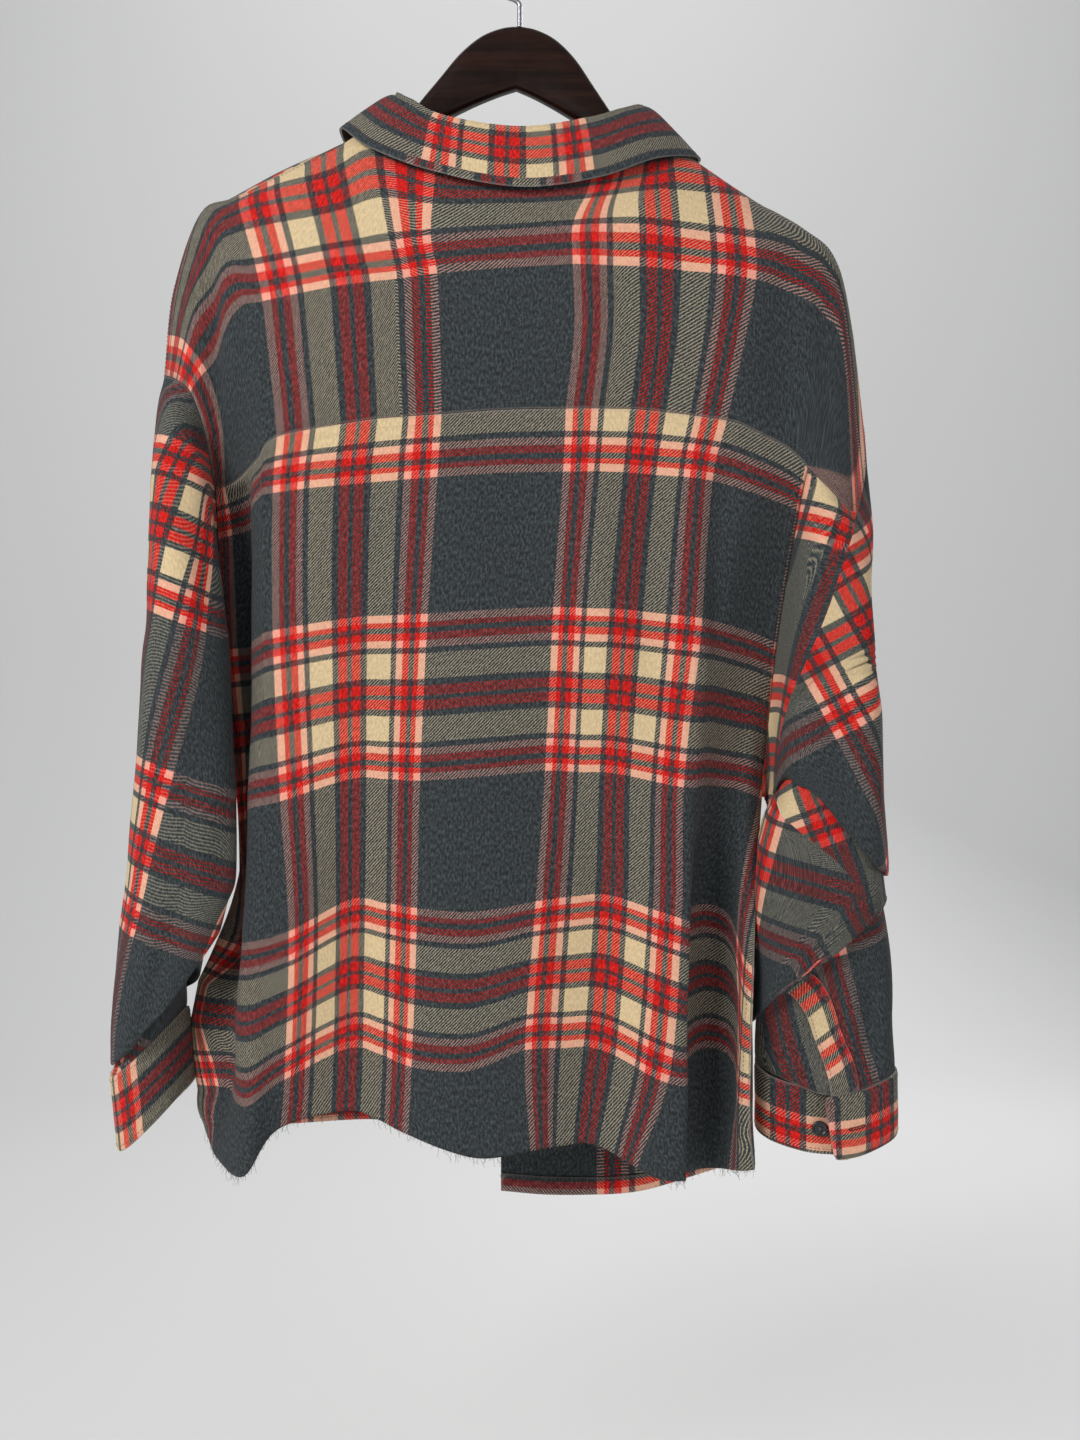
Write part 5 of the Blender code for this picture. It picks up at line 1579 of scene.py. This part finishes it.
# %% Buttons, as rings of reach and height
BUTTON_RINGS = ((4.9, 0.0), (5.4, 0.25), (5.75, 0.8), (5.72, 1.6), (5.55, 2.3), (5.2, 2.58),
                (4.8, 2.6), (4.4, 2.45), (4.05, 2.05), (3.7, 1.84), (3.0, 1.8))
BUTTON_MIDDLES = (0.05, 1.78)       # heights of the back's and the face's middles
BUTTON_SIDES = 40
HOLE_SIDES = 12
HOLE_SPREAD = 1.45 / 1.2            # from the middle, both ways
HOLE_RINGS = ((0.95, 1.79), (0.95 * 0.75, 1.92))
THREAD_SIDES = 8
THREAD_WIDE, THREAD_HIGH = 0.62, 0.34
THREAD_ARCH = (1.9, 0.75)           # its height at the holes, and how much more between them
THREAD_FLAT = 0.6                   # nearer 0 is flatter on top
THREAD_STEPS = 9
CORNERS = ((1, 1), (-1, 1), (-1, -1), (1, -1))


def lying(ring, height):
    return np.column_stack([ring, np.full(len(ring), height)])


def make_button(name, place, facing, turned):
    """A turned disc, four holes in its face closed by plugs in painted shade, and a cross of
    thread over them.
    """
    sides = BUTTON_SIDES
    rings = [lying(circle(sides) * reach, height) for reach, height in BUTTON_RINGS]
    points = [(0, 0, BUTTON_MIDDLES[0]), *np.concatenate(rings), (0, 0, BUTTON_MIDDLES[1])]
    last = len(points) - 1
    faces = [(0, 1 + k, 1 + (k + 1) % sides) for k in range(sides)]
    faces += [face[::-1] for face in skin(1, len(rings), sides)]
    faces += [(last - sides + k, last, last - sides + (k + 1) % sides) for k in range(sides)]
    looks = [0] * len(faces)
    for corner in np.multiply(CORNERS, HOLE_SPREAD):
        faces += skin(len(points), 2, HOLE_SIDES)
        for radius, height in HOLE_RINGS:
            points.extend(lying(corner + circle(HOLE_SIDES) * radius, height))
        # The plug that closes the hole, in the near-black painted shade.
        faces.append(tuple(range(len(points) - HOLE_SIDES, len(points))))
        looks += [0] * HOLE_SIDES + [1]
    for start, end in (CORNERS[0::2], CORNERS[1::2]):
        start, end = np.multiply((start, end), HOLE_SPREAD)
        run = (end - start) / np.linalg.norm(end - start)
        first, count = len(points), THREAD_SIDES
        for share in np.linspace(0, 1, THREAD_STEPS):
            lift = THREAD_ARCH[0] + THREAD_ARCH[1] * math.sin(math.pi * share) ** THREAD_FLAT
            for c, s in circle(count):
                flat = start + (end - start) * share + np.array((-run[1], run[0])) * (
                    THREAD_WIDE * c)
                points.append((*flat, lift + THREAD_HIGH * s))
        faces.append(tuple(range(first, first + count))[::-1])
        faces += skin(first, THREAD_STEPS, count)
        faces.append(tuple(range(len(points) - count, len(points))))
        looks += [2] * (len(faces) - len(looks))
    facing = np.array(facing, dtype=float) / np.linalg.norm(facing)
    along = np.cross(facing, (0, 0, 1.0))
    along /= np.linalg.norm(along)
    up = np.cross(along, facing)
    c, s = math.cos(turned), math.sin(turned)
    frame_of = np.array([along * c + up * s, up * c - along * s, facing])
    return solid(name, place + np.array(points) @ frame_of, faces, (resin, hole_shade, grey_thread),
                 looks)


# %% Where the buttons are sewn
BUTTON_TURN, TURN_SPREAD = 0.3, 0.9     # radians
TURN_SIZE = 37          # millimetres over which that changes
button_pieces = {}


def sew_button(node, place, facing):
    turned = BUTTON_TURN + TURN_SPREAD * noise.noise(Vector(place) / TURN_SIZE)
    button_pieces[node] = make_button(node + "_turned", place, facing, turned)


cuff_line = through(CUFF_LEFT_TOP, np.linspace(0, 8, 25)[:-1], closed=True)
cuff_wall = np.array([cuff_line + np.multiply(CUFF_LEFT_DROP, share) for share in (0, 0.5, 1)])
out = normals(cuff_wall, -1, closed=True)[1, LEFT_BUTTON_COLUMN]
sew_button("button_cuff_left", cuff_wall[1, LEFT_BUTTON_COLUMN] + out * BUTTON_STAND, out)
sew_button("button_cuff_right", CUFF_BUTTON, (0, 1, 0))
fly_middle = FRONT_COLUMNS.index("edge") - 0.5
line = np.array([through(row, [fly_middle])[0] for row in FRONT_LEFT_ROWS.values()])
line = through(line, np.linspace(0, len(line) - 1, 20 * (len(line) - 1) + 1))
front_spots = []
for index in range(FRONT_BUTTONS):
    height = FIRST_BUTTON - index * BUTTON_PITCH
    spot = [np.interp(-height, -line[:, 2], line[:, axis]) for axis in range(3)]
    spot[1] -= LAP_LIFT + STRIP + BUTTON_STAND
    sew_button("button_front_%d" % (index + 1), spot, (0, -1, 0))
    front_spots.append((spot[0], spot[2]))
print("buttons:", len(button_pieces))

# %% [markdown]
# ## Sewing and loose threads
#
# A lockstitch is a short thread that dives into the cloth at both ends, every three millimetres.
# One node tree lays them along any line: it spaces the points out, turns a small bead to lie
# along the line and face off the cloth, and varies its size a little. The same tree with short,
# wide beads makes a buttonhole. The raw hem sheds its yarns, so another tree hangs thin bent
# threads there, most of them short and a few long.

# %% What both node trees share
def geometry_tree(name, inputs):
    return new_group(name, (("Geometry", "Geometry"), *inputs), (("Geometry", "Geometry"),),
                     "GeometryNodeTree")


def random_float(low, high, seed, shift):
    return add_node(seed.id_data, "FunctionNodeRandomValue",
                    {2: low, 3: high, "Seed": calc("ADD", seed, float(shift))},
                    data_type="FLOAT").outputs[1]


def spread_points(geometry, gap):
    tree = gap.id_data
    line = add_node(tree, "GeometryNodeMeshToCurve", {"Mesh": geometry}).outputs["Curve"]
    return add_node(tree, "GeometryNodeResampleCurve", {"Curve": line, "Length": gap},
                    mode="LENGTH").outputs["Curve"]


def vector_of(*values):
    return add_node(tree_of(*values), "ShaderNodeCombineXYZ", enumerate(values)).outputs[0]


def finish_tree(tree, points, shape, rotation, scale, material):
    """Puts the shape on every point, makes it real and gives it its material."""
    smooth = add_node(tree, "GeometryNodeSetShadeSmooth", {"Geometry": shape})
    placed = add_node(tree, "GeometryNodeInstanceOnPoints",
                      {"Points": points, "Instance": smooth.outputs["Geometry"],
                       "Rotation": rotation, "Scale": scale})
    real = add_node(tree, "GeometryNodeRealizeInstances",
                    {"Geometry": placed.outputs["Instances"]})
    look = add_node(tree, "GeometryNodeSetMaterial",
                    {"Geometry": real.outputs["Geometry"], "Material": material})
    add_node(tree, "NodeGroupOutput", {"Geometry": look.outputs["Geometry"]})
    return tree


# %% The stitch
def make_stitch_tree():
    tree, inputs = geometry_tree("stitch_row", (
        ("Pitch", "Float", 3.2 * MM), ("Size", "Vector"), ("Uneven", "Float", 0.12),
        ("Seed", "Int", 3), ("Thread", "Material")))
    points = spread_points(inputs["Geometry"], inputs["Pitch"])
    tangent = add_node(tree, "GeometryNodeInputTangent").outputs[0]
    along = add_node(tree, "FunctionNodeAlignRotationToVector", {"Vector": tangent}, axis="X")
    off_cloth = add_node(tree, "GeometryNodeInputNamedAttribute", {"Name": "up"},
                         data_type="FLOAT_VECTOR")
    turned = add_node(tree, "FunctionNodeAlignRotationToVector",
                      {"Rotation": along.outputs[0], "Vector": off_cloth.outputs["Attribute"]},
                      axis="Z", pivot_axis="X")
    bead = add_node(tree, "GeometryNodeMeshUVSphere", {"Segments": 6, "Rings": 4, "Radius": 0.5})
    vary = random_float(calc("SUBTRACT", 1.0, inputs["Uneven"]),
                        calc("ADD", 1.0, inputs["Uneven"]), inputs["Seed"], 0)
    return finish_tree(tree, points, bead.outputs["Mesh"], turned.outputs[0],
                       scaled(inputs["Size"], vary), inputs["Thread"])


# %% The loose thread
FRAY_BEND = {"Start": (0, 0, 0.1), "Middle": (1.6 * MM, 0.6 * MM, -0.5),
             "End": (-0.8 * MM, 0.9 * MM, -1), "Resolution": 5}
FRAY_TILTS = ((-0.55, 0.55), (-0.25, 0.25), (0.0, 6.28))    # radians about each axis


def make_fray_tree():
    tree, inputs = geometry_tree("fray", (
        ("Gap", "Float", 1.0 * MM), ("Shortest", "Float", 1.2 * MM),
        ("Longest", "Float", 9.0 * MM), ("Radius", "Float", 0.11 * MM), ("Seed", "Int", 5),
        ("Thread", "Material")))
    points = spread_points(inputs["Geometry"], inputs["Gap"])
    bend = add_node(tree, "GeometryNodeCurveQuadraticBezier", FRAY_BEND)
    profile = add_node(tree, "GeometryNodeCurvePrimitiveCircle",
                       {"Resolution": 3, "Radius": inputs["Radius"]}, mode="RADIUS")
    tube = add_node(tree, "GeometryNodeCurveToMesh",
                    {"Curve": bend.outputs["Curve"], "Profile Curve": profile.outputs["Curve"],
                     "Fill Caps": True})
    tilt = [random_float(low, high, inputs["Seed"], shift)
            for shift, (low, high) in enumerate(FRAY_TILTS, 1)]
    few_long = calc("POWER", random_float(0.0, 1.0, inputs["Seed"], 4), 3.5)
    room = calc("SUBTRACT", inputs["Longest"], inputs["Shortest"])
    length = calc("ADD", inputs["Shortest"], calc("MULTIPLY", few_long, room))
    return finish_tree(tree, points, tube.outputs["Mesh"], vector_of(*tilt),
                       vector_of(1.0, 1.0, length), inputs["Thread"])


def grown(name, tree, lines, values):
    """Runs a tree over lines of points, each with its way off the cloth, and keeps the mesh."""
    points, ups, edges = [], [], []
    for line, up in lines:
        edges += [(len(points) + step, len(points) + step + 1) for step in range(len(line) - 1)]
        points += (np.array(line) * MM).tolist()
        ups += list(up)
    mesh = bpy.data.meshes.new(name + "_lines")
    mesh.from_pydata(points, edges, [])
    mesh.attributes.new("up", "FLOAT_VECTOR", "POINT").data.foreach_set(
        "vector", np.array(ups).reshape(-1))
    source = add_object(name + "_lines", mesh)
    modifier = source.modifiers.new(name, "NODES")
    modifier.node_group = tree
    for item in tree.interface.items_tree:
        if item.in_out == "INPUT" and item.name in values:
            modifier[item.identifier] = values[item.name]
    depsgraph = bpy.context.evaluated_depsgraph_get()
    baked = bpy.data.meshes.new_from_object(source.evaluated_get(depsgraph))
    baked.name = name
    bpy.data.objects.remove(source)
    baked.calc_loop_triangles()
    print(f"{name}: {len(lines)} lines, {len(baked.loop_triangles)} triangles")
    return add_object(name, baked)


# %% Lines of stitches
THREAD_LIFT = 0.12
CLOSED = ("sleeve_left", "sleeve_right", "cuff_left")


def seam_line(name, edge, distance, keep=(0, 1), inside=0.0):
    """A line at a distance from one edge of a cloth, on its outer or its inner face."""
    sheet, facing = (edge_first(looped(grid) if name in CLOSED else grid, edge)
                     for grid in sheets[name + "_cloth"])
    run = arc(sheet)
    last = sheet.shape[1] - 1
    line, ups = [], []
    for column in range(round(keep[0] * last), round(keep[1] * last) + 1):
        row = int(np.searchsorted(run[:, column], distance))
        up = facing[min(row, len(facing) - 1), column] * (-1 if inside else 1)
        spot = np.array([np.interp(distance, run[:, column], sheet[:, column, axis])
                         for axis in range(3)])
        line.append(spot + up * (THREAD_LIFT + inside))
        ups.append(up)
    return line, ups


neck_ends = [corner / (yoke.shape[1] - 1) for corner in yoke_neck]
seams = [("yoke", "bottom", 5), ("yoke", "start", 6), ("yoke", "end", 6),
         ("yoke", "top", 5, (0, neck_ends[0])), ("yoke", "top", 5, (neck_ends[1], 1)),
         ("back", "start", 6), ("back", "end", 6)]
for name in ("left", "right"):
    seams += [(piece + name, edge, distance) for piece, edge, distance in (
        ("front_", "start", 6), ("front_", "bottom", 10), ("placket_", "start", 5),
        ("placket_", "end", 5), ("sleeve_placket_", "start", 2.5),
        ("sleeve_placket_", "end", 2.5), ("cuff_", "top", 4), ("cuff_", "bottom", 4))]
    seams.append(("hem_" + name, "top", 1.6, (0, 1), STRIP))
seams += [("cuff_right", "start", 4), ("cuff_right", "end", 4), ("collar", "start", 6),
          ("collar", "end", 6), ("collar", "bottom", 6)]
stitch_tree = make_stitch_tree()
stitches = grown("stitches", stitch_tree, [seam_line(*seam) for seam in seams],
                 {"Pitch": 3.2 * MM, "Size": (2.3 * MM, 0.5 * MM, 0.42 * MM), "Uneven": 0.12,
                  "Seed": 3, "Thread": grey_thread})

# %% Buttonholes
HOLE_LENGTH = 13.0
HOLE_HALF = 0.85
HOLE_STEPS = 33
HOLE_SQUARE = 1.8       # above 1, its long sides are straight
WRONG_SIDE = 1000       # puts points that face away out of reach


def buttonhole(name, x, z, side, level):
    """A closed line round a slit, level or upright, on the side of the cloth that faces y."""
    sheet, facing = sheets[name]
    off = np.hypot(sheet[..., 0] - x, sheet[..., 2] - z)
    off += WRONG_SIDE * (facing[..., 1] * side < 0)
    row, column = np.unravel_index(np.argmin(off), off.shape)
    line, ups = (sheet[row], facing[row]) if level else (sheet[:, column], facing[:, column])
    here = column if level else row
    run = arc(line) - arc(line)[here]
    ahead = line[min(here + 1, len(line) - 1)] - line[here - 1]
    found, off_cloth = [], []
    for angle in np.linspace(0, 2 * math.pi, HOLE_STEPS):
        read = HOLE_LENGTH / 2 * math.cos(angle)
        spot, up = (np.array([np.interp(read, run, values[:, axis]) for axis in range(3)])
                    for values in (line, ups))
        beside = np.cross(up, ahead / np.linalg.norm(ahead))
        push = np.clip(math.sin(angle) * HOLE_SQUARE, -1, 1) * HOLE_HALF
        found.append(spot + beside * push + up * THREAD_LIFT)
        off_cloth.append(up)
    return found, off_cloth


holes = [buttonhole("cuff_right_cloth", -249.6, -876, 1, True)]
holes += [buttonhole("placket_left_cloth", x, z, -1, False) for x, z in front_spots]
buttonholes = grown("buttonholes", stitch_tree, holes,
                    {"Pitch": 0.62 * MM, "Size": (0.6 * MM, 1.3 * MM, 0.5 * MM),
                     "Uneven": 0.1, "Seed": 8, "Thread": hole_thread})

# %% The raw hem's loose threads
HEM_INSIDE = 0.3
hem_line, hem_ups = seam_line("back", "bottom", HEM_INSIDE)
hem_line = [spot - up * (THREAD_LIFT + CLOTH / 2) for spot, up in zip(hem_line, hem_ups)]
hem_fray = grown("hem_fray", make_fray_tree(), [(hem_line, hem_ups)],
                 {"Gap": 0.9 * MM, "Shortest": 1.2 * MM, "Longest": 9.0 * MM,
                  "Radius": 0.11 * MM, "Seed": 5, "Thread": loose_yarn})

# %% [markdown]
# ## Camera, floor and light
#
# The shirt is seen square on from behind. The lights are large and soft, since brushed cloth
# has no gloss, and the key comes from one side, so that the creases shade.

# %% Camera
EYE = (-0.0153, 1.135, -0.573)
LENS = 37.67            # millimetres, for a sensor 36 mm high
SENSOR_WIDTH, SENSOR_HEIGHT = 27, 36
camera_data = bpy.data.cameras.new("camera")
camera_data.sensor_fit = "VERTICAL"
camera_data.sensor_height = SENSOR_HEIGHT
camera_data.sensor_width = SENSOR_WIDTH
camera_data.lens = LENS
camera_data.clip_start = 0.01
camera = add_object("camera", camera_data)
camera.location = EYE
camera.rotation_euler = (math.radians(90), 0, math.radians(180))
bpy.context.scene.camera = camera

# %% Floor and wall, in one sweep
FLOOR = -1.35
WALL_AT = -3.0
SWEEP = 1.0             # radius of the curve between floor and wall
SWEEP_STEPS = 12
HALF_WIDTH = 6.0
NEAR_END, TOP = 6.0, 4.0
WALL_PAINT = (0.78, 0.78, 0.77, 1)


def make_sweep():
    profile = [(NEAR_END, FLOOR), (WALL_AT + SWEEP, FLOOR)]
    for step in range(1, SWEEP_STEPS + 1):
        angle = math.pi / 2 * step / SWEEP_STEPS
        profile.append((WALL_AT + SWEEP - SWEEP * math.sin(angle),
                        FLOOR + SWEEP - SWEEP * math.cos(angle)))
    profile.append((WALL_AT, TOP))
    points = [(side * HALF_WIDTH, y, z) for y, z in profile for side in (-1, 1)]
    faces = [(2 * i, 2 * i + 1, 2 * i + 3, 2 * i + 2) for i in range(len(profile) - 1)]
    mesh = bpy.data.meshes.new("floor")
    mesh.from_pydata(points, [], faces)
    mesh.shade_smooth()
    look, tree, shader = new_material("floor")
    fill(tree, shader, {"Base Color": WALL_PAINT, "Roughness": 0.95})
    mesh.materials.append(look)
    add_object("floor", mesh)


make_sweep()


# %% Soft light
def area_light(name, place, target, size, power):
    data = bpy.data.lights.new(name, "AREA")
    data.size = size
    data.energy = power
    made = add_object(name, data)
    made.location = place
    made.rotation_euler = (Vector(target) - Vector(place)).to_track_quat("-Z", "Y").to_euler()


area_light("key", (1.5, 2.0, 0.5), (0, 0, -0.5), 1.0, 44)
area_light("fill", (-1.8, 2.2, -0.2), (0, 0, -0.5), 1.6, 9)
area_light("front_key", (-1.2, -2.0, 0.6), (0, 0, -0.5), 1.2, 26)
area_light("wall_light", (0, -1.4, 1.9), (0, -3.2, -0.4), 2.4, 20)
world = bpy.data.worlds.new("studio")
world.use_nodes = True
fill(world.node_tree, world.node_tree.nodes["Background"],
     {"Color": (0.95, 0.96, 1.0, 1), "Strength": 0.34})
bpy.context.scene.world = world
bpy.context.scene.view_settings.view_transform = "Standard"

# %% Pieces onto the hanger's body, their solids hidden, and the end
for made in (stitches, buttonholes, hem_fray):
    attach(made, "root")
for made in list(bpy.data.objects):
    if made.type == "MESH" and made.name.endswith("_cloth"):
        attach(made, "root")
        node = made.name[:-len("_cloth")]
        if node in nodes:
            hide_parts(node)
for made, node, slot in ((wood_piece, "hanger_wood", "wood"), (hook_piece, "hanger_hook", "steel"),
                         *((piece, node, "button") for node, piece in button_pieces.items())):
    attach(made, "root")
    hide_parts(node)
